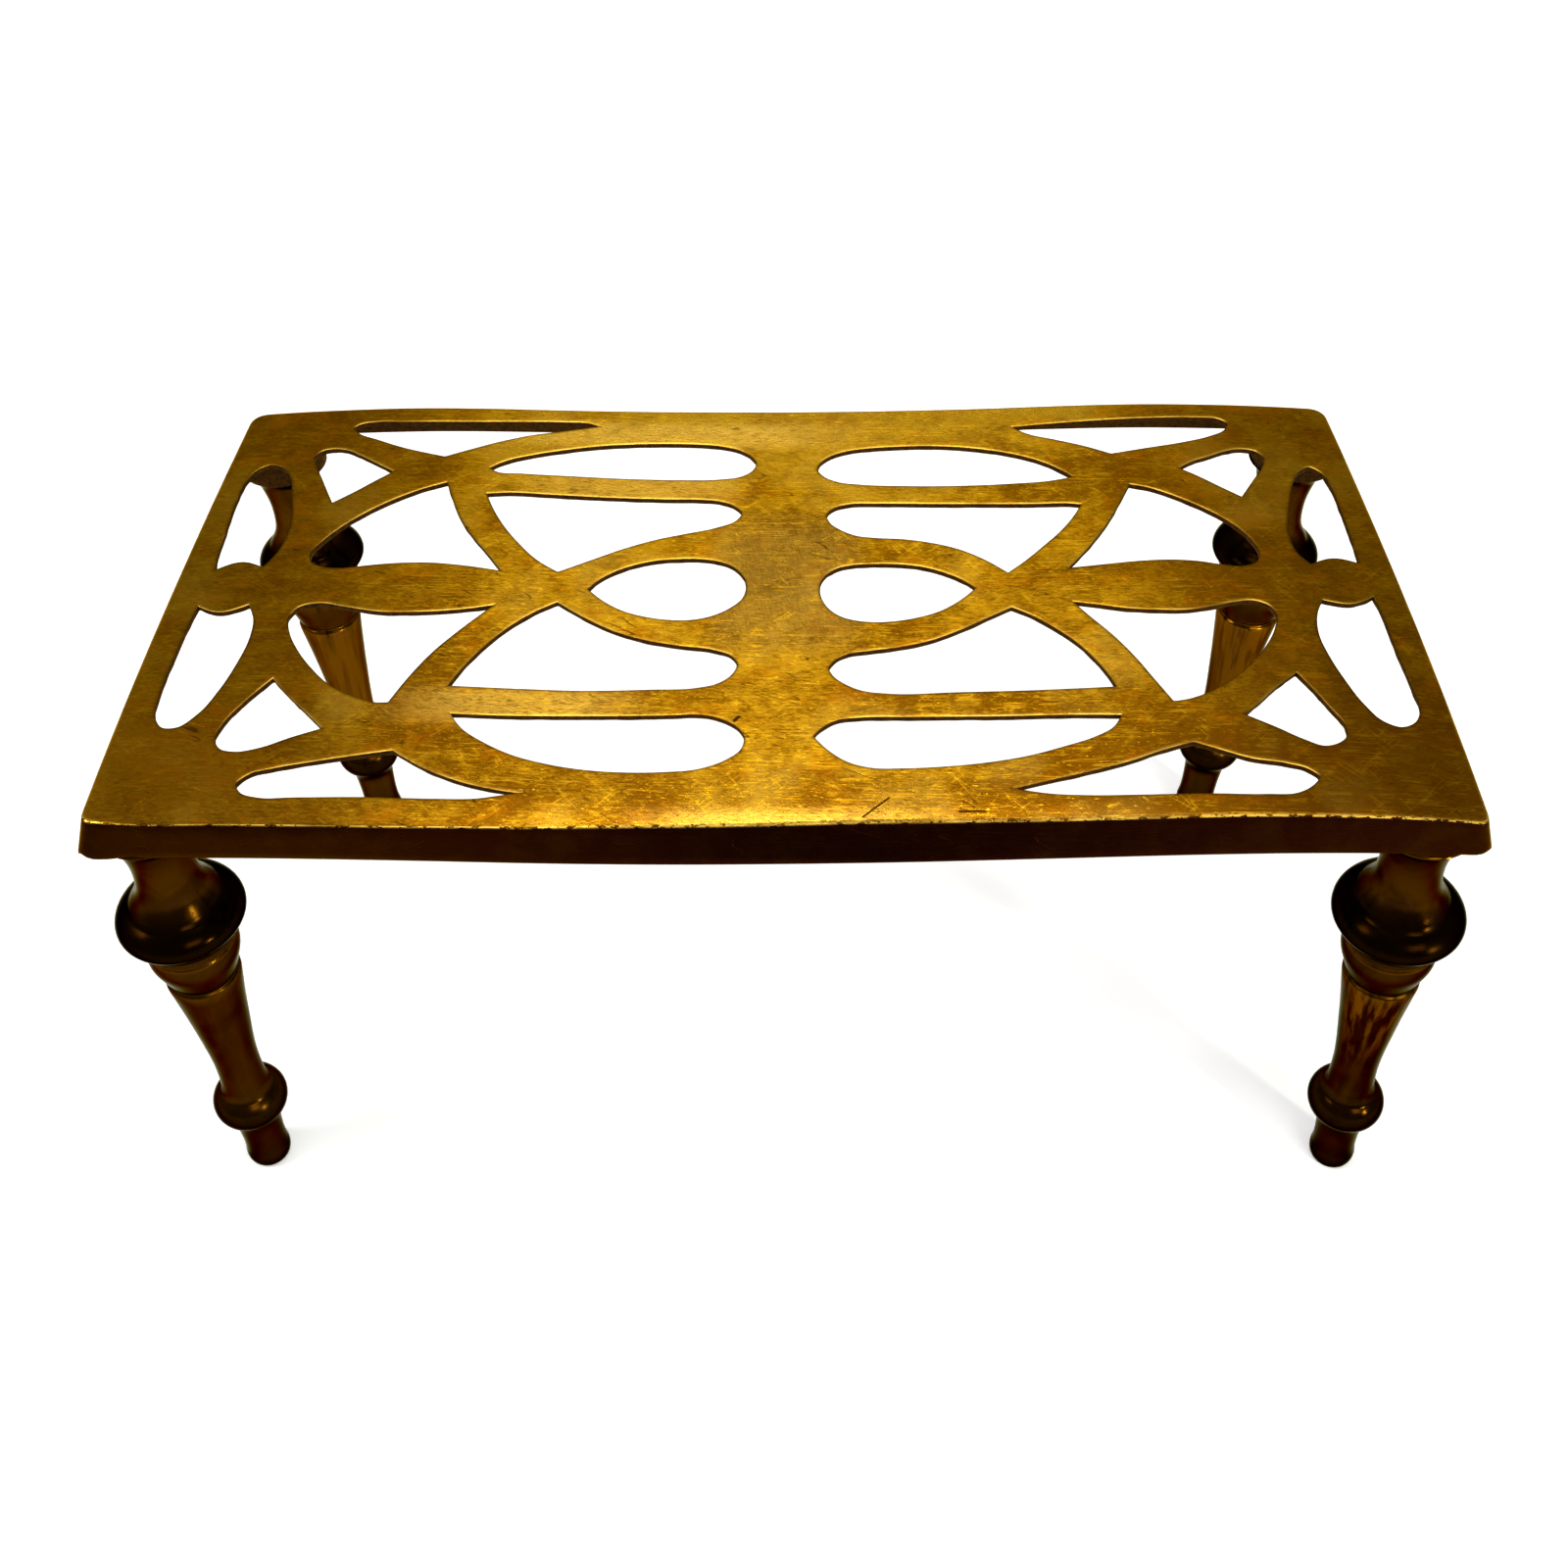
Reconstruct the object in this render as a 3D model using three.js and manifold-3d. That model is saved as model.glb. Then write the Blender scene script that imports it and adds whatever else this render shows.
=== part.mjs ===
// Brass trivet: a pierced, slightly waved top casting with a flared rim, standing on four turned legs.
// Each leg is held against a corner pad of the casting by an iron stud that doesn't show.
// Millimetres, +Z up, feet on z = 0, origin under the middle of the whole object, front towards -Y.
import * as THREE from 'three';
import { mergeVertices } from 'three/addons/utils/BufferGeometryUtils.js';
import Module from 'manifold-3d';

const wasm = await Module();
wasm.setup();

// Top casting
const plate_length = 300;
const plate_width = 150;
const end_bow = 1;
const side_bow = 1.3;
const corner_radius = 2.5;
const web_thickness = 1.7;
const rim_depth = 8.7;
const rim_wall = 3;
const rim_flare = 2.5;

// The top isn't flat: it rises to a crest near each end and falls away to the long sides. The lower edge of
// the rim has only part of that rise.
const crest_distance = 112;
const crest_rise = 2.7;
const crest_land = 8;
const rim_follow = 0.6;
const crown_drop = 0.8;
const crown_land = 24;

// Solid border between the openings and the top edge, and how far the pierced pattern is drawn
const border_end = 6.7;
const border_side = 4.6;

// Corner pads and the legs on them
const pad_radius = 11.8;
const pad_drop = 9.4;
const leg_from_end = 9.3;
const leg_from_side = 8.7;
const leg_height = 141;

// One leg, from the seat down
const collar_radius = 11.4;
const collar_height = 2.4;
const neck_top_radius = 8.4;
const neck_waist_radius = 7.1;
const neck_height = 24.6;
const ball_radius = 15.3;
const ball_rise = 8;
const ball_fall = 3.2;
const bead_radius = 13.3;
const bead_height = 1.7;
const groove_radius = 10.1;
const groove_height = 4.6;
const ring_radius = 11;
const ring_height = 12.5;
const ring_foot_radius = 8.5;
const shaft_top_radius = 9;
const shaft_waist_radius = 5.15;
const small_ball_radius = 9.7;
const small_ball_height = 15.4;
const peg_height = 20.6;
const peg_radius = 5.7;
const foot_round = 1.2;

// Blind iron studs
const stud_radius = 3;
const stud_in_leg = 13;
const stud_in_pad = 5.5;
const stud_clearance = 0.3;

// Facets round a leg and round a stud
const leg_facets = 20;
const stud_facets = 12;

// Where each foot stands, measured from straight under its seat: no two legs are screwed in quite alike
const legs = [
  { place: 'front_left', side: [-1, -1], foot_shift: [-3.6, 1.6] },
  { place: 'front_right', side: [1, -1], foot_shift: [8.9, 2.1] },
  { place: 'back_left', side: [-1, 1], foot_shift: [4.7, -4.8] },
  { place: 'back_right', side: [1, 1], foot_shift: [-6.1, -1.9] },
];

// Openings of one quarter of the top, in a field of drawn_reach. Each opening is a closed chain of smooth runs
// that meet at corners, and every run starts where the one before it ends.
const drawn_reach = [143.3, 70.5];
const side_leaf = [
  [[55, 68.8], [66, 70.2]],
  [[66, 70.2], [110, 70.5]],
  [[110, 70.5], [115.5, 69.9], [118.5, 66.8], [116, 63.4], [110, 60.8]],
  [[110, 60.8], [100, 57.9], [89.5, 54.4]],
  [[89.5, 54.4], [80, 59.2], [69.5, 64.5], [55, 68.8]],
];
const outer_wing = [
  [[77, 46.4], [71, 52.2], [60, 56.8], [50, 59.5], [37, 60.8], [21, 60.5], [9.8, 54.8], [8, 50.6], [13.5, 45.1]],
  [[13.5, 45.1], [35, 44.6]],
  [[35, 44.6], [77, 46.4]],
];
const inner_wing = [
  [[77.5, 36.3], [19, 36.3]],
  [[19, 36.3], [11, 30.8], [13, 25.4], [30, 20.3], [39, 17.2], [46.5, 12.5], [55.3, 5.6]],
  [[55.3, 5.6], [65, 14.1], [72, 24], [77.5, 36.3]],
];
const side_fan = [
  [[89, 41.4], [93, 41.4]],
  [[93, 41.4], [102.5, 34.4], [110, 26.6], [115, 18.8], [118.5, 11]],
  [[118.5, 11], [117, 8.1], [112.5, 6.8], [106.5, 7.3]],
  [[106.5, 7.3], [97.5, 9.2], [87.5, 9.1], [69.3, 6.2]],
  [[69.3, 6.2], [79, 20.3], [84.5, 30.2], [89, 41.4]],
];
const corner_leaf = [
  [[103.5, 47.2], [116, 54.9], [120.5, 56.7], [124, 56.1], [126.8, 52.7], [124, 44.3], [118, 32.9]],
  [[118, 32.9], [112.5, 37.5], [107.5, 43.3], [103.5, 47.2]],
];
const end_slot = [
  [[142, 6.7], [136, 9.2], [130, 6.7]],
  [[130, 6.7], [127, 16.7], [129.8, 36], [132, 43.8], [135.8, 49.3], [139.3, 49.9], [143.3, 42]],
  [[143.3, 42], [142.9, 10]],
  [[142.9, 10], [142, 6.7]],
];
const quarter_openings = [side_leaf, outer_wing, inner_wing, side_fan, corner_leaf, end_slot];

// The drop-shaped opening on the long axis, upper half from its tip to its round end
const drop_side = [[47.3, 0], [44.4, 5], [36.5, 9.7], [27.5, 11.8], [19, 11.8], [12.5, 9.9], [9.8, 5.2], [8.9, 0]];

// Space that the cutting bodies reach past what they cut
const past = 10;

function solidOf(geometry) {
  const bare = geometry.clone();
  bare.deleteAttribute('normal');
  bare.deleteAttribute('uv');
  const merged = mergeVertices(bare);
  const corners = [];
  for (let i = 0; i < merged.index.count; i += 3) {
    const [a, b, c] = [merged.index.getX(i), merged.index.getX(i + 1), merged.index.getX(i + 2)];
    if (a !== b && b !== c && c !== a) corners.push(a, b, c);
  }
  const vertProperties = new Float32Array(merged.attributes.position.array);
  const triVerts = new Uint32Array(corners);
  return new wasm.Manifold(new wasm.Mesh({ numProp: 3, vertProperties, triVerts }));
}

function geometryOf(solid) {
  const mesh = solid.getMesh();
  const geometry = new THREE.BufferGeometry();
  geometry.setAttribute('position', new THREE.BufferAttribute(new Float32Array(mesh.vertProperties), 3));
  geometry.setIndex(new THREE.BufferAttribute(new Uint32Array(mesh.triVerts), 1));
  return geometry;
}

function block(low, high) {
  const size = high.map((value, i) => value - low[i]);
  const box = new THREE.BoxGeometry(...size);
  box.translate(...high.map((value, i) => (value + low[i]) / 2));
  return solidOf(box);
}

function post(radius, bottom, top, at, facets) {
  const cylinder = new THREE.CylinderGeometry(radius, radius, top - bottom, facets);
  cylinder.rotateX(Math.PI / 2);
  cylinder.translate(at[0], at[1], (top + bottom) / 2);
  return solidOf(cylinder);
}

// Height of the top face above the middle of the top
function waveHeight(x) {
  const share = (x / crest_distance) ** 2;
  return crest_rise * (1 - (share - 1) ** 2);
}

// Lengths along the top where its facets meet, with a level land on each crest
function waveStations() {
  const inner_steps = 9;
  const outer_steps = 4;
  const reach = plate_length / 2 + end_bow + rim_flare + past;
  const inner = crest_distance - crest_land / 2;
  const outer = crest_distance + crest_land / 2;
  const half = [];
  for (let i = 1; i <= inner_steps; i += 1) half.push(inner * i / inner_steps);
  for (let i = 0; i <= outer_steps; i += 1) half.push(outer + (reach - outer) * i / outer_steps);
  return [...half.map((x) => -x).reverse(), 0, ...half];
}

// Layer across the whole width, from a depth under the waved top face to a lower edge that follows the rim's
function waveLayer(upper, lower) {
  const stations = waveStations();
  const height = (x) => {
    const onLand = Math.abs(Math.abs(x) - crest_distance) <= crest_land / 2 + 0.001;
    return onLand ? crest_rise : waveHeight(x);
  };
  const topLine = stations.map((x) => new THREE.Vector2(x, height(x) - upper));
  const lowLine = stations.map((x) => new THREE.Vector2(x, rim_follow * height(x) - lower));
  const side = new THREE.Shape([...lowLine, ...topLine.reverse()]);
  const across = plate_width + 2 * (side_bow + rim_flare + past);
  const layer = new THREE.ExtrudeGeometry(side, { depth: across, bevelEnabled: false });
  layer.rotateX(Math.PI / 2);
  layer.translate(0, across / 2, 0);
  return solidOf(layer);
}

// Upright body with the plan outline of the casting, drawn in by inset, that widens downwards with the rim
function rimBody(inset, top, bottom) {
  const a = plate_length / 2 - inset;
  const b = plate_width / 2 - inset;
  const r = Math.max(corner_radius - inset, rim_wall / 2);
  const plan = new THREE.Shape();
  plan.moveTo(-a + r, -b);
  plan.quadraticCurveTo(0, -b - 2 * side_bow, a - r, -b);
  plan.quadraticCurveTo(a, -b, a, -b + r);
  plan.quadraticCurveTo(a + 2 * end_bow, 0, a, b - r);
  plan.quadraticCurveTo(a, b, a - r, b);
  plan.quadraticCurveTo(0, b + 2 * side_bow, -a + r, b);
  plan.quadraticCurveTo(-a, b, -a, b - r);
  plan.quadraticCurveTo(-a - 2 * end_bow, 0, -a, -b + r);
  plan.quadraticCurveTo(-a, -b, -a + r, -b);
  const body = new THREE.ExtrudeGeometry(plan, { depth: top - bottom, bevelEnabled: false, curveSegments: 8 });
  body.translate(0, 0, bottom);
  const points = body.attributes.position;
  for (let i = 0; i < points.count; i += 1) {
    const flare = rim_flare * -points.getZ(i) / rim_depth;
    points.setX(i, points.getX(i) * (1 + flare / (plate_length / 2)));
    points.setY(i, points.getY(i) * (1 + flare / (plate_width / 2)));
  }
  return solidOf(body);
}

function openingBody(runs, mirrorX, mirrorY) {
  const scaleX = mirrorX * (plate_length / 2 - border_end) / drawn_reach[0];
  const scaleY = mirrorY * (plate_width / 2 - border_side) / drawn_reach[1];
  const place = ([x, y]) => new THREE.Vector2(x * scaleX, y * scaleY);
  const outline = new THREE.Shape();
  const start = place(runs[0][0]);
  outline.moveTo(start.x, start.y);
  for (const run of runs) {
    if (run.length === 2) {
      const end = place(run[1]);
      outline.lineTo(end.x, end.y);
    } else {
      outline.splineThru(run.slice(1).map(place));
    }
  }
  const depth = pad_drop + crest_rise + 2 * past;
  const body = new THREE.ExtrudeGeometry(outline, { depth, bevelEnabled: false, curveSegments: 2 });
  body.translate(0, 0, -pad_drop - past);
  return solidOf(body);
}

// The casting falls away towards its long sides
function crown(solid) {
  const geometry = geometryOf(solid);
  const points = geometry.attributes.position;
  const land = crown_land / 2;
  for (let i = 0; i < points.count; i += 1) {
    const share = Math.max(0, Math.abs(points.getY(i)) - land) / (plate_width / 2 - land);
    points.setZ(i, points.getZ(i) - crown_drop * share ** 2);
  }
  return solidOf(geometry);
}

function seatOf(leg) {
  return [leg.side[0] * (plate_length / 2 - leg_from_end), leg.side[1] * (plate_width / 2 - leg_from_side)];
}

function makeTop() {
  const outside = rimBody(0, crest_rise + 1, -pad_drop - past);
  let body = waveLayer(0, rim_depth).intersect(outside);
  body = body.subtract(waveLayer(web_thickness, rim_depth + past).intersect(rimBody(rim_wall, 0, -pad_drop - past)));
  const cuts = [];
  for (const mirrorX of [-1, 1]) {
    for (const mirrorY of [-1, 1]) {
      for (const runs of quarter_openings) cuts.push(openingBody(runs, mirrorX, mirrorY));
    }
    const lowerSide = drop_side.slice(0, -1).reverse().map(([x, y]) => [x, -y]);
    cuts.push(openingBody([[...drop_side], [drop_side[drop_side.length - 1], ...lowerSide]], mirrorX, 1));
  }
  for (const cut of cuts) body = body.subtract(cut);
  body = crown(body);
  for (const leg of legs) {
    const seat = seatOf(leg);
    const pad = post(pad_radius, -pad_drop, -web_thickness / 2 - crown_drop, seat, leg_facets);
    body = body.add(pad.intersect(outside));
    const hole_top = stud_in_pad + stud_clearance - pad_drop;
    body = body.subtract(post(stud_radius + stud_clearance, -pad_drop - past, hole_top, seat, stud_facets));
  }
  return body;
}

// Half section of a leg from the seat down, as radius and height under the seat
function legProfile() {
  const line = [];
  const arc = (centre, radiusX, radiusZ, from, to, steps) => {
    for (let i = 0; i <= steps; i += 1) {
      const angle = from + (to - from) * i / steps;
      line.push([centre[0] + radiusX * Math.cos(angle), centre[1] + radiusZ * Math.sin(angle)]);
    }
  };
  const curve = (points, steps) => {
    const spline = new THREE.SplineCurve(points.map(([r, z]) => new THREE.Vector2(r, z)));
    for (const point of spline.getPoints(steps)) line.push([point.x, point.y]);
  };
  const ball_middle = -neck_height - ball_rise;
  const bead_top = ball_middle - ball_fall;
  const groove_top = bead_top - bead_height;
  const ring_top = groove_top - groove_height;
  const shaft_top = ring_top - ring_height;
  const peg_top = -leg_height + peg_height;
  const small_middle = peg_top + small_ball_height / 2;
  const shaft_bottom = peg_top + small_ball_height;

  line.push([collar_radius, 0]);
  curve([
    [neck_top_radius, -collar_height],
    [neck_waist_radius, -neck_height * 0.6],
    [(neck_waist_radius + neck_top_radius) / 2, -neck_height * 0.88],
    [neck_top_radius + 1.2, -neck_height - 1],
  ], 5);
  const ball_start = Math.acos(0.72);
  const ball_end = -Math.acos((bead_radius - 0.3) / ball_radius);
  arc([0, ball_middle], ball_radius, ball_rise, ball_start, 0, 4);
  arc([0, ball_middle], ball_radius, ball_fall / Math.sin(-ball_end), ball_end / 2, ball_end, 1);
  line.push([bead_radius, bead_top - bead_height * 0.4]);
  line.push([bead_radius - 0.5, groove_top]);
  line.push([groove_radius, groove_top - groove_height * 0.35]);
  line.push([groove_radius, ring_top + groove_height * 0.2]);
  curve([
    [ring_radius - 0.5, ring_top],
    [ring_radius, ring_top - ring_height * 0.25],
    [(ring_radius + ring_foot_radius) / 2, ring_top - ring_height * 0.7],
    [ring_foot_radius, shaft_top],
  ], 4);
  line.push([shaft_top_radius, shaft_top - 1]);
  curve([
    [shaft_top_radius, shaft_top - 2.6],
    [(shaft_top_radius * 0.42 + shaft_waist_radius * 0.58), (shaft_top * 0.58 + shaft_bottom * 0.42)],
    [shaft_waist_radius, shaft_bottom + 6],
    [shaft_waist_radius + 1.1, shaft_bottom + 0.6],
  ], 5);
  const small_start = Math.acos(0.76);
  arc([0, small_middle], small_ball_radius, small_ball_height / 2, small_start, -small_start, 6);
  line.push([peg_radius + 0.4, peg_top - 0.4]);
  line.push([peg_radius - 0.15, -leg_height + peg_height * 0.35]);
  line.push([peg_radius + 0.15, -leg_height + foot_round * 2.2]);
  line.push([peg_radius - foot_round * 0.25, -leg_height + foot_round * 0.9]);
  line.push([peg_radius - foot_round, -leg_height]);
  line.push([peg_radius - foot_round - 0.8, -leg_height - foot_round]);
  return line;
}

function makeLeg(leg) {
  const profile = legProfile();
  const raised = [[0, past / 2], [collar_radius, past / 2], ...profile, [0, profile[profile.length - 1][1]]];
  const points = raised.reverse().map(([r, z]) => new THREE.Vector2(r, z));
  const turning = new THREE.LatheGeometry(points, leg_facets);
  turning.rotateX(Math.PI / 2);
  turning.rotateY(-Math.atan(leg.foot_shift[0] / leg_height));
  turning.rotateX(Math.atan(leg.foot_shift[1] / leg_height));
  const seat = seatOf(leg);
  turning.translate(seat[0], seat[1], -pad_drop);
  const wide = 2 * ball_radius + leg_height;
  const floor = -pad_drop - leg_height;
  const low = [seat[0] - wide, seat[1] - wide, floor];
  const high = [seat[0] + wide, seat[1] + wide, -pad_drop];
  const bore = post(stud_radius + stud_clearance, -pad_drop - stud_in_leg, past, seat, stud_facets);
  return solidOf(turning).intersect(block(low, high)).subtract(bore);
}

function makeStud(leg) {
  return post(stud_radius, -pad_drop - stud_in_leg, -pad_drop + stud_in_pad, seatOf(leg), stud_facets);
}

function addPiece(group, name, solid, colour, roughness, metalness) {
  const material = new THREE.MeshStandardMaterial({ color: colour, roughness, metalness });
  const mesh = new THREE.Mesh(geometryOf(solid), material);
  mesh.name = name;
  group.add(mesh);
}

const group = new THREE.Group();
addPiece(group, 'top_plate', makeTop(), 0x9a7433, 0.38, 1);
for (const leg of legs) {
  addPiece(group, 'leg_' + leg.place, makeLeg(leg), 0x4a3514, 0.3, 1);
  addPiece(group, 'stud_' + leg.place, makeStud(leg), 0x45413c, 0.6, 1);
}

// The origin goes to the floor under the middle of the whole object
const whole = new THREE.Box3().setFromObject(group);
const middle = whole.getCenter(new THREE.Vector3());
group.position.set(-middle.x, -middle.y, -whole.min.z);

export default group;
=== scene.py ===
"""Brass trivet: a pierced, waved top casting on four turned legs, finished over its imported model.

The frame is metres, +Z up, with the feet on z = 0. Shapes are worked out in millimetres from the middle of
the top casting and are placed in the frame at the end.
"""
import math
import types

import bpy
import numpy as np
from mathutils import Matrix
from mathutils.geometry import delaunay_2d_cdt


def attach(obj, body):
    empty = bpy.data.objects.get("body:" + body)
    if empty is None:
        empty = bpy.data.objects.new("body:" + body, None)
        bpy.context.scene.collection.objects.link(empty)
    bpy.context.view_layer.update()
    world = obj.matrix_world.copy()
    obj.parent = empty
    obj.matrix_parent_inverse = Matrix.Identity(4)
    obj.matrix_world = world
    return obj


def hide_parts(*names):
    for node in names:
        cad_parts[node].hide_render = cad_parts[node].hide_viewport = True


bl_info = {
    "name": "Brass trivet",
    "version": (1, 0, 0),
    "blender": (4, 5, 0),
    "location": "3D View > Sidebar > Trivet",
    "description": "Builds the fine surfaces, finishes and studio of a pierced brass trivet",
    "category": "Add Mesh",
}

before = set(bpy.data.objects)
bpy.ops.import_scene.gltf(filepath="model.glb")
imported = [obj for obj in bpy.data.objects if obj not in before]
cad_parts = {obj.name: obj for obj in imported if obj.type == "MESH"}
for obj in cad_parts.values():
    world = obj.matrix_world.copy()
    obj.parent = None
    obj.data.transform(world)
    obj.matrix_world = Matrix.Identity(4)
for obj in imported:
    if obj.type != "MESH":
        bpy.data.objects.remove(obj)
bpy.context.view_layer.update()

# Middle of the top casting in the frame, in millimetres
TOP_MIDDLE = np.array([-0.595, 0.035, 150.4])

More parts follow.
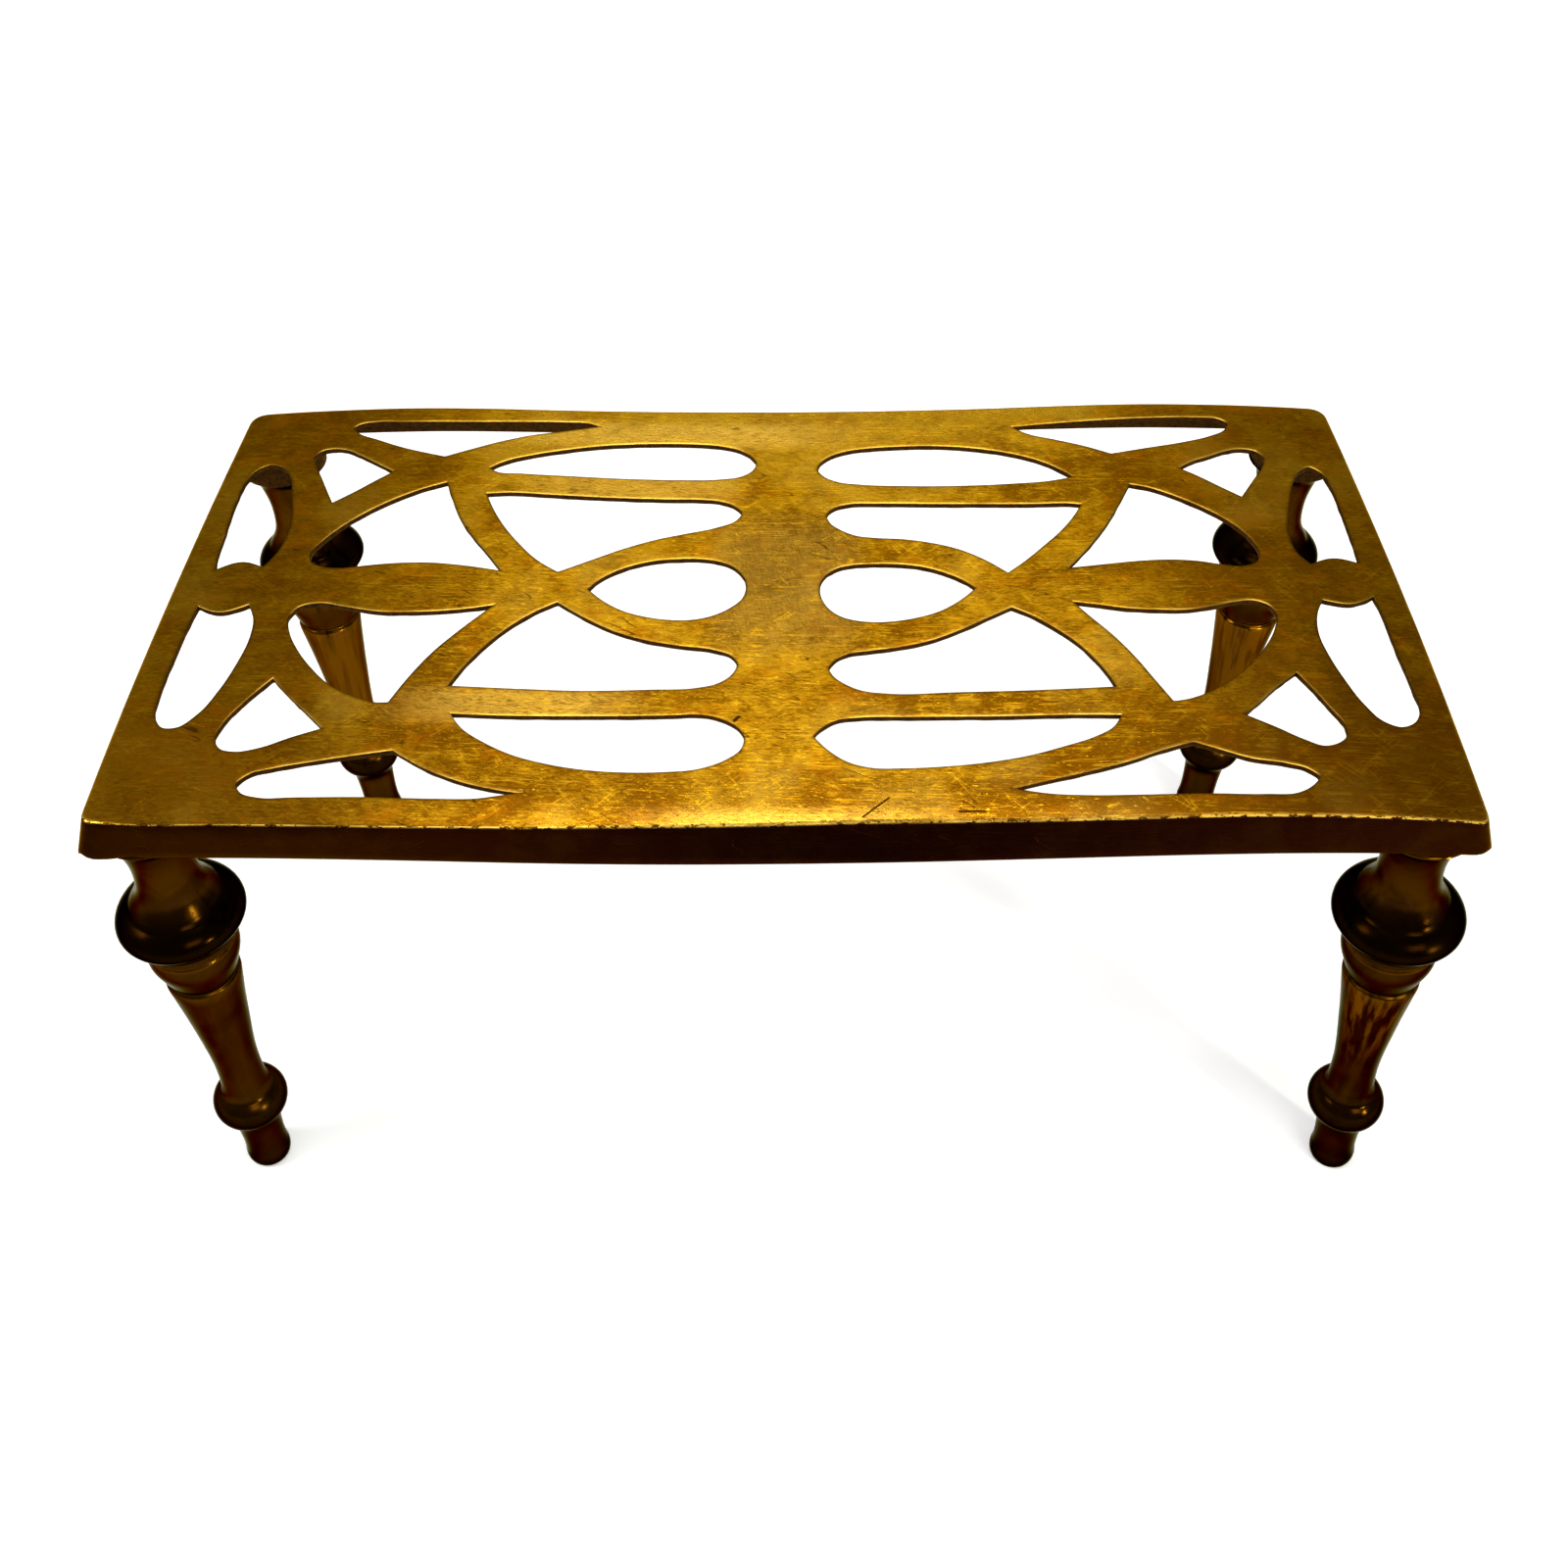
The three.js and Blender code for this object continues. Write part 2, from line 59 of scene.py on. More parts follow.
# Openings of the top, cut by hand, so no two are alike. Each is a closed chain of smooth runs that meet at
# sharp corners, in millimetres from the middle of the top.
OPENINGS = {
    "drop_left": [
        [[-48.4, 0], [-46, 3.6], [-42, 7.2], [-37.5, 9.8], [-32, 11.7], [-26.5, 12.5], [-20.5, 12.6],
         [-16, 11.6], [-12.4, 9.6], [-9.9, 6], [-8.9, 1], [-9.8, -3], [-12.6, -6.4], [-17, -9.4],
         [-22.5, -11], [-28, -11], [-33.5, -10], [-39, -8], [-43, -5.4], [-48.4, 0]],
    ],
    "drop_right": [
        [[47.6, 0], [44.6, 3.2], [40, 6.4], [35, 8.7], [29, 10], [22, 10.3], [17.5, 10], [13.5, 8.8],
         [10.8, 6.6], [9.2, 3.4], [8.8, 0], [9.3, -3.2], [11, -6.8], [14, -9.8], [18, -11.4], [22.5, -12],
         [27, -11.8], [32.5, -10.7], [38, -8.6], [43, -5], [47.6, 0]],
    ],
    "inner_wing_front_left": [
        [[-55, -4.7], [-60.5, -8.8], [-65.7, -14.1], [-70.2, -20.4], [-74.4, -28], [-77.4, -35.3]],
        [[-77.6, -35.3], [-60, -35.8], [-45, -36], [-30, -35.2], [-20, -34.5], [-15, -33], [-11.5, -29.8],
         [-10.3, -26.3], [-11.5, -23.3], [-16, -21], [-24, -19.7], [-32, -18], [-40, -15], [-47, -10.8],
         [-55, -4.7]],
    ],
    "inner_wing_front_right": [
        [[55.4, -7.1], [60, -10.3], [65, -15], [69.5, -20.3], [73, -26], [75.6, -31.7], [77, -36.1]],
        [[77, -36.1], [60, -36.5], [40, -36.5], [24, -36.4], [18.5, -35.4], [14.5, -33.1], [11.7, -30.2],
         [10.8, -27.7], [12, -25], [15, -22.7], [21, -21.4], [28, -20.3], [35, -18.4], [42, -15.1],
         [49, -10.9], [55.4, -7.1]],
    ],
    "inner_wing_back_left": [
        [[-56.2, 6], [-62.5, 11], [-67.5, 17], [-72, 23.6], [-75.6, 30.4], [-78.5, 37.5]],
        [[-78.5, 37.5], [-74, 38.1], [-60, 37.7], [-45, 37], [-30, 36.8], [-22, 36.8], [-16.5, 36],
         [-12.5, 33.8], [-10.8, 30.8], [-12.2, 27.6], [-17, 24.7], [-25, 22], [-32, 19.6], [-40, 15.8],
         [-48, 11], [-56.2, 6]],
    ],
    "inner_wing_back_right": [
        [[55.6, 5], [49.5, 10.9], [44, 14.7], [38, 17.3], [30.5, 19.2], [23, 20], [18.3, 21], [14.5, 23.4],
         [11.6, 26.6], [10.8, 29.6], [12.6, 33], [16.8, 34.7], [24, 34.8], [38, 34.1], [52, 33.4],
         [65, 32.7], [74, 32.4], [77, 31.8]],
        [[77, 31.8], [74.6, 27], [70.5, 20.9], [65.5, 15.1], [60.5, 9.6], [55.6, 5]],
    ],
    "outer_wing_front_left": [
        [[-75.6, -43.6], [-66, -43.9], [-55, -43.8], [-40, -43.4], [-25, -42.8], [-18, -42.5], [-13, -44],
         [-9.5, -46.6], [-8, -50], [-8.7, -53.6], [-12, -56.8], [-18, -59.6], [-26, -60.7], [-34, -61],
         [-42, -60.6], [-52, -58.9], [-60, -56.4], [-67, -52.6], [-72, -48.8], [-75.6, -43.6]],
    ],
    "outer_wing_front_right": [
        [[7, -49.4], [9.5, -46.2], [12.6, -44.2], [17, -43.5], [30, -43.5], [50, -43.9], [65, -44.1],
         [77, -44.6]],
        [[77, -44.6], [74.5, -48.8], [70, -51.6], [63, -54.2], [55, -56.7], [46, -58.4], [37, -59.3],
         [27, -59.7], [20, -59.4], [14.7, -57.5], [10.5, -54], [7, -49.4]],
    ],
    "outer_wing_back_left": [
        [[-79.3, 48.5], [-75, 52], [-68, 55], [-59, 57.7], [-50, 59.7], [-41, 60.8], [-32, 61.3],
         [-24, 61.2], [-17.5, 60.5], [-12.5, 58.8], [-9, 55.9], [-7.5, 52.2], [-8.7, 48.7], [-11.8, 46.2],
         [-17, 45], [-28, 44.5], [-42, 44.6], [-55, 45.2], [-70, 45.9], [-77, 46.6], [-79.3, 48.5]],
    ],
    "outer_wing_back_right": [
        [[76.5, 43], [74, 46], [69.5, 50], [63.5, 53.5], [56, 56.4], [48, 58.4], [39, 59.5], [30, 59.6],
         [22, 59.1], [16.3, 57.9], [12, 55.7], [9.3, 52.5], [8.6, 49.3], [10.3, 46.2], [14, 43.7],
         [20, 42.4], [32, 41.4], [46, 40.8], [60, 41], [70, 41.7], [76.5, 43.2]],
    ],
    "side_fan_front_left": [
        [[-69.6, -6.2], [-78, -8.2], [-88, -9.5], [-98, -9.6], [-106, -8], [-113, -6.6], [-117.5, -8],
         [-119.4, -12], [-118, -17.5], [-114.5, -24], [-110, -30], [-104, -36], [-98, -39.4], [-93.5, -41],
         [-89.7, -41]],
        [[-89.7, -41], [-86.8, -33.5], [-82.5, -24.5], [-77.5, -16.8], [-69.6, -6.2]],
    ],
    "side_fan_front_right": [
        [[69.7, -5.7], [76, -7.1], [83, -8.8], [90, -9.6], [97, -9.8], [103, -8.7], [109, -7.1],
         [113.5, -6.8], [116.6, -8.4], [118, -12], [116.7, -17], [113.5, -23], [109, -29], [103.5, -34.3],
         [97, -38.7], [91.5, -40.8], [88.7, -41.2]],
        [[88.7, -41.2], [85.3, -33.5], [82.3, -26.6], [78, -18.6], [73.5, -11.8], [69.7, -5.7]],
    ],
    "side_fan_back_left": [
        [[-89.1, 42.2], [-96, 38.6], [-102, 34.4], [-107.5, 29.6], [-112.8, 23.8], [-117, 17.5],
         [-119.2, 12], [-118.4, 8.6], [-115, 6.5], [-110, 5.9], [-104, 7], [-97, 8], [-89, 8.4], [-80, 7.6],
         [-69.8, 5.8]],
        [[-69.8, 5.8], [-75.5, 14.5], [-80, 21], [-84, 28.4], [-87, 36], [-89.1, 42.2]],
    ],
    "side_fan_back_right": [
        [[90, 39.8], [94.5, 38.3], [100, 35.1], [106, 30.6], [111, 26], [115, 21], [117.6, 15.8],
         [118.5, 11], [117.4, 7.6], [113, 5.5], [108, 6.2], [103, 7.5], [96, 8.3], [88, 8.1], [79, 7.2],
         [70, 6.2]],
        [[70, 6.2], [76, 14], [81, 21.6], [85, 29], [90, 39.8]],
    ],
    "corner_leaf_front_left": [
        [[-118, -32.8], [-123, -40.5], [-126.5, -48], [-127.1, -52], [-125, -55.6], [-121, -56.6],
         [-116, -55.5], [-109.5, -52.3], [-102.8, -49.3]],
        [[-102.8, -49.3], [-107.5, -44.3], [-112.5, -39.2], [-118, -32.8]],
    ],
    "corner_leaf_front_right": [
        [[118.4, -31.6], [120.8, -36.5], [123.6, -43], [125.8, -48.8], [125.4, -52.2], [123, -54.4],
         [119.5, -55.3], [115.5, -53.4], [110, -49.6], [103.5, -45.4]],
        [[103.5, -45.4], [108, -41.3], [113, -36.2], [118.4, -31.6]],
    ],
    "corner_leaf_back_left": [
        [[-103.8, 46.3], [-109, 50], [-114.5, 53.8], [-118.5, 56.2], [-122.2, 56.8], [-125.4, 55.9],
         [-127, 53.2], [-126, 49.7], [-122.8, 42.6], [-118, 32.3]],
        [[-118, 32.3], [-113, 36.9], [-108, 42.1], [-103.8, 46.3]],
    ],
    "corner_leaf_back_right": [
        [[103.6, 46], [107.5, 48.9], [113, 51.5], [118, 53.9], [122, 54.7], [125.8, 53.6], [127.4, 50.7],
         [126.4, 46.9], [122.5, 40.2], [118.2, 33.1]],
        [[118.2, 33.1], [113, 37.8], [108, 42.4], [103.6, 46]],
    ],
    "side_leaf_front_left": [
        [[-55.5, -67.2], [-62, -66.2], [-70, -64.1], [-78, -60.6], [-86.1, -55.3]],
        [[-86.1, -55.3], [-94, -57], [-103, -59], [-112, -61.2], [-116.5, -62.8], [-118.8, -66],
         [-117.3, -68.6], [-113, -70.1], [-105, -70], [-90, -69.7], [-75, -69.8], [-65, -69.3],
         [-60.5, -68.3], [-55.5, -67.2]],
    ],
    "side_leaf_front_right": [
        [[50, -65.9], [58, -63.7], [68, -61.1], [77, -58.4], [84.5, -55.4], [91.3, -53.2]],
        [[91.3, -53.2], [96.5, -55.6], [103, -58.4], [110.5, -60], [115, -61.8], [116.8, -64],
         [114.8, -66.8], [111.2, -68.9], [104, -69.3], [92, -68.9], [78, -68.8], [66, -68.6], [57, -67.7],
         [50, -65.9]],
    ],
    "side_leaf_back_left": [
        [[-50.6, 68.3], [-54, 70], [-61, 70.4], [-75, 70.1], [-90, 69.6], [-105, 69.3], [-113, 69.2],
         [-117.3, 68.1], [-118.9, 66], [-117.3, 63.7], [-111, 60.2], [-103, 56.5], [-96.7, 54.4],
         [-91.6, 52.9]],
        [[-91.6, 52.9], [-84, 56.9], [-76.5, 60.6], [-70, 63.2], [-60, 65.7], [-50.6, 68.3]],
    ],
    "side_leaf_back_right": [
        [[61.3, 66.9], [70, 67.7], [80, 68.4], [92, 69.1], [104, 69.4], [113, 69.2], [118, 68.6],
         [120.4, 66.3], [119.4, 63.2], [114.5, 59.9], [107.5, 57.4], [97, 54.9], [87.1, 52.7]],
        [[87.1, 52.7], [80, 56.7], [72.5, 60], [66, 62.8], [61.3, 66.9]],
    ],
    "end_slot_front_left": [
        [[-142.9, -6.4], [-136.5, -9.2], [-130, -6.7]],
        [[-130, -6.7], [-127.4, -12.5], [-126.7, -19.5], [-127.6, -28], [-129.6, -37], [-132.6, -44.5],
         [-136.5, -48.6], [-139.8, -48.6], [-142.8, -45], [-143.9, -38], [-143.9, -24], [-143.4, -11],
         [-142.9, -6.4]],
    ],
    "end_slot_front_right": [
        [[142.9, -4.2], [140, -6.2], [136.2, -7.6], [132.8, -7.2], [129.8, -6.3]],
        [[129.8, -6.3], [127.3, -11.8], [126.1, -19], [126.9, -26.5], [128.6, -34], [131.2, -42],
         [134.5, -47.4], [138, -49], [141.5, -47.6], [144, -43.5], [144.2, -36], [143.7, -24], [143.5, -10],
         [142.9, -4.2]],
    ],
    "end_slot_back_left": [
        [[-142.3, 6.5], [-136.2, 9.2], [-130, 6.7]],
        [[-130, 6.7], [-127.7, 11.8], [-126.5, 20], [-127.2, 28], [-129.2, 36.8], [-131.3, 44.4],
         [-134.3, 49], [-138, 50.6], [-141.3, 48.8], [-143.4, 44.2], [-144, 36], [-143.6, 22], [-143, 11],
         [-142.3, 6.5]],
    ],
    "end_slot_back_right": [
        [[142.5, 7.3], [136.5, 9], [130, 6.3]],
        [[130, 6.3], [127.4, 11], [126.8, 17], [128, 25], [130.2, 33], [132.6, 40.3], [135.2, 45.1],
         [138.6, 47.4], [141, 45.5], [142.5, 39.8], [142.9, 30], [142.8, 16], [142.5, 7.3]],
    ],
}

# Half length and half width that the openings above reach, and the length that FRONT_EDGE goes with
DRAWN_REACH = np.array([143.3, 70.4])
DRAWN_LENGTH = 300

# How far the front upper edge stands behind the straight side, along the length, in millimetres
FRONT_EDGE = [(-152, 0.3), (-147, -0.6), (-138, -1.8), (-122, -2.3), (-96, -2.2), (-60, -0.9), (-20, 1.1),
              (18, 2.2), (58, 1.2), (95, 0.6), (125, -0.2), (150, -0.8)]

# How the hand-made casting strays from its plan, in millimetres: the back corners are this many times as
# round as the front ones, the outline sits to the left, and the back bulges by a bell near each crest
BACK_CORNER_SHARE = 1.8
OUTLINE_SHIFT = -0.25
BACK_BULGE, BULGE_AT, BULGE_REACH = 0.7, 95, 28

# The worn strip along the front edge: its width and how far it is worn down
STRIP_WIDTH, STRIP_WEAR = 6.5, 0.4

# Unevenness of hand finishing: its mean depth, and the depths of its short and its long ripples
UNEVEN_DEPTH, SHORT_RIPPLE, LONG_RIPPLE = 0.09, 0.035, 0.05

# The rim's lower edge: how much deeper it hangs at the front left, where along the length that fades and how
# softly, how far it is rounded up at the corners and over what way
LEFT_DROP, LEFT_FADE_AT, LEFT_FADE = 1.1, -15, 40
CORNER_LIFT, CORNER_START, CORNER_WAY = 2.0, 1.5, 4

# Shares of the half width: where the rim begins to be filed back and over what way, and where the drop at
# the front left is at its full
BACK_START, BACK_WAY, LEFT_FULL = 0.55, 0.4, 0.8

# The step from the rim's lower edge to a pad, how much further out and softer it is at the back, and over
# what way behind the middle it becomes so
PAD_STEP, BACK_PAD_REACH, BACK_PAD_STEP, BACK_PAD_WAY = 0.5, 5.5, 2.5, 10

# Where each leg stands: its corner, how far its foot is from straight under its seat, and how far the turned
# brass is off the middle of its stud
LEGS = {
    "front_left": ((-1, -1), (-3.6, 1.6), (-0.3, -0.2)),
    "front_right": ((1, -1), (8.9, 2.1), (0.25, -0.2)),
    "back_left": ((-1, 1), (4.7, -4.8), (0.4, 0)),
    "back_right": ((1, 1), (-6.1, -1.9), (-0.9, 0)),
}

# Areas of the top that are dimmer, that carry a painted sheen, or that are orange or brown: middle and half
# sizes in millimetres, and how much
DIM_AREAS = [(78, -66, 44, 22, 0.50), (44, -41, 52, 14, 0.32)]
PAINTED_SHEEN_AREAS = [(2, -75, 42, 6, 0.35), (-30, 65, 60, 8, 0.6), (-62, -41, 36, 8, 0.4), (-40, 41, 36, 8, 0.4)]
ORANGE_CORNER = [(-136, -58, 30, 22, 0.45)]
BROWN_CORNER = [(136, -60, 36, 30, 0.6)]

# Two scratches and a gouge in the top: middle, length and width in millimetres, and angle
SCARS = [(20.2, -70.5, 8.5, 0.25, 0.73), (40.7, -72.0, 6, 0.32, 0.0), (-10.7, -44.0, 2.6, 0.5, 0.9)]

# Lamps: place and the point that each faces, width and depth in metres, power in watts and colour
LAMPS = {
    "back_softbox": ((0.0, 0.78, 0.95), (0, 0, 0.15), 0.6, 0.3, 1.2, (1, 0.97, 0.92)),
    "high_softbox": ((0.0, 0.32, 1.1), (0, 0, 0.15), 0.35, 0.22, 2.6, (1, 0.97, 0.92)),
    "small_softbox": ((0.65, -0.63, 0.30), (0, 0, 0.1), 0.07, 0.07, 4, (0.88, 1, 0.8)),
    "overhead_softbox": ((0.0, -0.25, 1.2), (0, 0, 0.15), 0.7, 0.22, 5, (1, 0.98, 0.95)),
    "left_softbox": ((-1.1, -0.35, 1.0), (0, 0, 0.1), 0.4, 0.4, 8, (1, 0.98, 0.95)),
    "front_softbox": ((0.5, -1.1, 0.8), (0, 0, 0.08), 0.5, 0.35, 5, (1, 0.98, 0.95)),
}

# Camera: its place in metres, its right, up and back directions, and the shift of its picture
CAMERA_PLACE = (0.006145, -0.313525, 0.42201)
CAMERA_RIGHT = (0.999776, 0.013523, -0.016259)
CAMERA_UP = (0.002791, 0.677724, 0.735311)
CAMERA_BACK = (0.020963, -0.735192, 0.677534)
CAMERA_SHIFT = (0.0056, -0.0903)


def length(name, description, millimetres):
    """A length that a user can change."""
    return bpy.props.FloatProperty(name=name, description=description, default=millimetres / 1000, min=0,
                                   precision=5, unit="LENGTH")


def colour(name, description, red, green, blue):
    """A colour that a user can change, in linear light."""
    return bpy.props.FloatVectorProperty(name=name, description=description, default=(red, green, blue),
                                         min=0, max=1, size=3, subtype="COLOR")


def share(name, description, value):
    """A number from 0 to 1 that a user can change."""
    return bpy.props.FloatProperty(name=name, description=description, default=value, min=0, max=1,
                                   subtype="FACTOR")


class TrivetTopSettings(bpy.types.PropertyGroup):
    """Sizes and colours of the top casting."""
    plate_length: length("Length", "Length between the top corners", 300)
    plate_width: length("Width", "Width between the top corners", 150)
    end_bow: length("End bow", "How far the short sides bulge", 1)
    side_bow: length("Side bow", "How far the long sides bulge", 1.3)
    corner_radius: length("Corner radius", "Rounding of the front corners seen from above", 2.7)
    taper: length("Taper", "How much longer the front is than the back, at each end and from the middle", 1)
    web_thickness: length("Web thickness", "Thickness of the pierced part", 1.7)
    rim_depth: length("Rim depth", "How far the rim hangs down", 8.7)
    rim_wall: length("Rim wall", "Thickness of the rim", 3)
    back_lift: length("Back lift", "How much shallower the rim is along the back", 1.8)
    rim_flare: length("Rim flare", "How far the rim spreads outwards on its way down", 2.5)
    crest_distance: length("Crest distance", "Distance of each crest from the middle", 112)
    crest_rise: length("Crest rise", "Height of the crests over the middle", 2.7)
    rim_follow: share("Rim follows crests", "Share of the rise that the rim's lower edge has", 0.6)
    crown_drop: length("Crown", "How far the top falls away to its front", 0.8)
    crown_land: length("Crown land", "Width of the level strip along the middle", 24)
    border_end: length("End border", "Solid border beside the openings at each end", 6.7)
    border_side: length("Side border", "Solid border beside the openings at each long side", 4.6)
    pad_radius: length("Pad radius", "Radius of the pads that take the legs", 11.8)
    pad_drop: length("Pad depth", "Depth of the pads under the middle of the top", 9.4)
    leg_from_end: length("Leg from end", "Distance of a leg from the end of the top", 9.3)
    leg_from_side: length("Leg from side", "Distance of a leg from the side of the top", 8.7)
    bore_radius: length("Bore radius", "Radius of the blind hole for a stud", 3.3)
    bore_depth: length("Bore depth", "Depth of the blind hole in a pad", 5.8)
    edge_round: length("Edge rounding", "Wear on the upper edges of the openings", 0.28)
    rim_round: length("Rim rounding", "Wear on the upper edge of the rim", 0.45)
    golden: colour("Polished brass", "Brass where hands and pots keep it bright", 0.62, 0.33, 0.009)
    honey: colour("Honey patina", "Brass under a thin patina", 0.145, 0.053, 0.001)
    rust_orange: colour("Orange patina", "Patches where the zinc has left the brass", 0.36, 0.105, 0.001)
    khaki: colour("Khaki patina", "Patches of grey green patina", 0.33, 0.205, 0.030)
    umber: colour("Brown patina", "Brass under a thick patina", 0.045, 0.015, 0.001)
    # Also the colour of the painted sheen on the top, and of the painted highlight on worn edges that face
    # the front
    rubbed_and_sheen: colour("Rubbed edges", "Bare metal on the worn edges", 0.90, 0.56, 0.08)
    side_brown: colour("Rim side", "Dark tarnish on the outside of the rim", 0.012, 0.0020, 0.0006)
    cast_brown: colour("Cast skin", "Unworked skin of the casting", 0.016, 0.0075, 0.0025)


class TrivetLegSettings(bpy.types.PropertyGroup):
    """Sizes and colours of the turned legs."""
    leg_height: length("Height", "Height of a leg from the floor to its seat", 141)
    collar_radius: length("Collar radius", "Radius of the flared seat", 11.4)
    collar_height: length("Collar height", "Height of the flared seat", 2.4)
    neck_top_radius: length("Neck top radius", "Radius of the neck under its collar", 9.0)
    neck_waist_radius: length("Neck waist radius", "Least radius of the neck", 7.1)
    neck_height: length("Neck height", "From the seat to the ball's shoulder", 24.6)
    ball_radius: length("Ball radius", "Radius of the large ball", 15.1)
    ball_rise: length("Ball rise", "From the ball's shoulder to its widest place", 8)
    ball_fall: length("Ball fall", "From the ball's widest place to the bead", 3.2)
    bead_radius: length("Bead radius", "Radius of the bead under the ball", 12.8)
    bead_height: length("Bead height", "Height of the bead", 1.7)
    groove_radius: length("Groove radius", "Radius of the groove over the ring", 10.1)
    groove_height: length("Groove height", "Height of the groove", 4.6)
    ring_radius: length("Ring radius", "Radius of the ring", 11)
    ring_height: length("Ring height", "Height of the ring", 12.5)
    ring_foot_radius: length("Ring foot radius", "Radius at the lower end of the ring", 8.5)
    shaft_top_radius: length("Shaft top radius", "Radius of the shaft under the ring", 9.1)
    shaft_waist_radius: length("Shaft waist radius", "Least radius of the shaft", 5.6)
    small_ball_radius: length("Small ball radius", "Radius of the small ball", 9.7)
    small_ball_height: length("Small ball height", "Height of the small ball", 15.4)
    peg_height: length("Peg height", "Height of the peg foot", 20.6)
    peg_radius: length("Peg radius", "Radius of the peg foot", 5.7)
    foot_round: length("Foot rounding", "Rounding of the edge that meets the floor", 1.2)
    bore_radius: length("Bore radius", "Radius of the hole for the stud", 3.3)
    bore_depth: length("Bore depth", "Depth of the hole for the stud", 13)
    around: bpy.props.IntProperty(name="Steps around", description="Facets round a leg", default=96, min=24)
    tarnish: colour("Dark tarnish", "Legs where nobody rubs them", 0.011, 0.0034, 0.0004)
    olive: colour("Olive brown", "Legs under a thinner tarnish", 0.036, 0.0125, 0.0007)
    # Also the colour of the painted light on the legs behind
    amber: colour("Amber streaks", "Brass that shows through along the shaft", 0.13, 0.046, 0.0015)


class TrivetStudSettings(bpy.types.PropertyGroup):
    """Colours of the hidden studs."""
    iron: colour("Iron", "Bare iron", 0.055, 0.050, 0.046)
    rust: colour("Rust", "Rusty patches", 0.11, 0.040, 0.016)


class TrivetStageSettings(bpy.types.PropertyGroup):
    """Floor, lamps and camera."""
    floor: colour("Floor", "Colour of the floor", 0.86, 0.86, 0.86)
    floor_reach: bpy.props.FloatProperty(name="Floor reach", description="Half width of the floor",
                                         default=4, min=0.5, unit="LENGTH")
    sky: bpy.props.FloatProperty(name="Sky", description="Strength of the even light from all round",
                                 default=0.44, min=0)
    focal_length: bpy.props.FloatProperty(name="Focal length", description="Focal length in millimetres",
                                          default=38.7, min=1)


def millimetres(settings):
    """Every length of a settings group in millimetres, and its shares and counts as they are."""
    sizes = {}
    for name in type(settings).__annotations__:
        prop = settings.bl_rna.properties[name]
        if prop.type in {"FLOAT", "INT"} and not getattr(prop, "is_array", False):
            sizes[name] = getattr(settings, name) * (1000 if prop.unit == "LENGTH" else 1)
    return types.SimpleNamespace(**sizes)


# Curves and loops in the plane

# Millimetres between the points on which a loop is worn round, and steps in each span of an opening's run
# and of the front edge
FINE_STEP = 0.15
SPAN_STEPS, EDGE_STEPS = 24, 12

# How far the corners of an opening are worn round, and its finished loop's longest step and largest turn
CORNER_WEAR, LOOP_STEP, LOOP_TURN = 0.32, 1.15, math.radians(14)

# Steps along the outline's long sides, short sides and corners
LONG_STEPS, SHORT_STEPS, CORNER_STEPS = 250, 125, 9


def smooth_run(points, steps):
    """Points along a run without its last one. Two points give a straight line. More give cubic spans, whose
    direction at each point is the mean of the two chords there, in which the shorter chord counts for more.
    """
    p = np.asarray(points, float)
    t = np.linspace(0, 1, steps, endpoint=False)[None, :, None]
    if len(p) == 2:
        return p[0] + (p[1] - p[0]) * t[0]
    reach = np.linalg.norm(np.diff(p, axis=0), axis=1)[:, None]
    chord = np.diff(p, axis=0) / reach
    middle = (chord[:-1] * reach[1:] + chord[1:] * reach[:-1]) / (reach[:-1] + reach[1:])
    way = np.vstack([1.5 * chord[:1] - 0.5 * middle[:1], middle, 1.5 * chord[-1:] - 0.5 * middle[-1:]])
    start, end = p[:-1, None, :], p[1:, None, :]
    leave, arrive = (way[:-1] * reach)[:, None, :], (way[1:] * reach)[:, None, :]
    span = (2 * start - 2 * end + leave + arrive) * t ** 3
    span = span + (3 * end - 3 * start - 2 * leave - arrive) * t ** 2 + leave * t + start
    return span.reshape(-1, 2)


def worn_loop(points, wear, step, turn_step):
    """A closed loop with its corners worn round, as complex positions and unit directions along it.

    The loop is spread evenly, each point becomes the bell-weighted mean of its neighbours within about wear,
    and the result is thinned to one point per step of length or turn_step of turning."""
    closed = np.vstack([points, points[:1]])
    place = closed[:, 0] + 1j * closed[:, 1]
    run = np.concatenate([[0], np.cumsum(np.abs(np.diff(place)))])
    count = int(run[-1] / FINE_STEP)
    even = np.interp(np.arange(count) * run[-1] / count, run, place)
    waves = np.fft.fftfreq(count, d=run[-1] / count)
    even = np.fft.ifft(np.fft.fft(even) * np.exp(-2 * (math.pi * waves * wear) ** 2))
    ahead = np.roll(even, -1) - even
    heading = (np.roll(even, -1) - np.roll(even, 1))
    heading = heading / np.abs(heading)
    turning = np.abs(np.angle(np.roll(heading, -1) / heading))
    spent = np.concatenate([[0], np.cumsum(np.abs(ahead) / step + turning / turn_step)])
    number = max(12, int(spent[-1]))
    at = np.interp(np.arange(number) * spent[-1] / number, spent, np.arange(count + 1))
    index = np.arange(count + 1)
    loop = np.interp(at, index, np.append(even, even[0]))
    along = np.interp(at, index, np.append(heading, heading[0]))
    return loop, along / np.abs(along)


def opening_loops(s):
    """Every opening of the top as a loop that runs anticlockwise, with its directions."""
    scale = np.array([s.plate_length / 2 - s.border_end, s.plate_width / 2 - s.border_side]) / DRAWN_REACH
    loops = {}
    for name, runs in OPENINGS.items():
        points = np.vstack([smooth_run(run, SPAN_STEPS) for run in runs]) * scale
        x, y = points[:, 0], points[:, 1]
        area = np.sum(x * np.roll(y, -1) - np.roll(x, -1) * y) / 2
        loops[name] = worn_loop(points if area > 0 else points[::-1], CORNER_WEAR, LOOP_STEP, LOOP_TURN)
    return loops


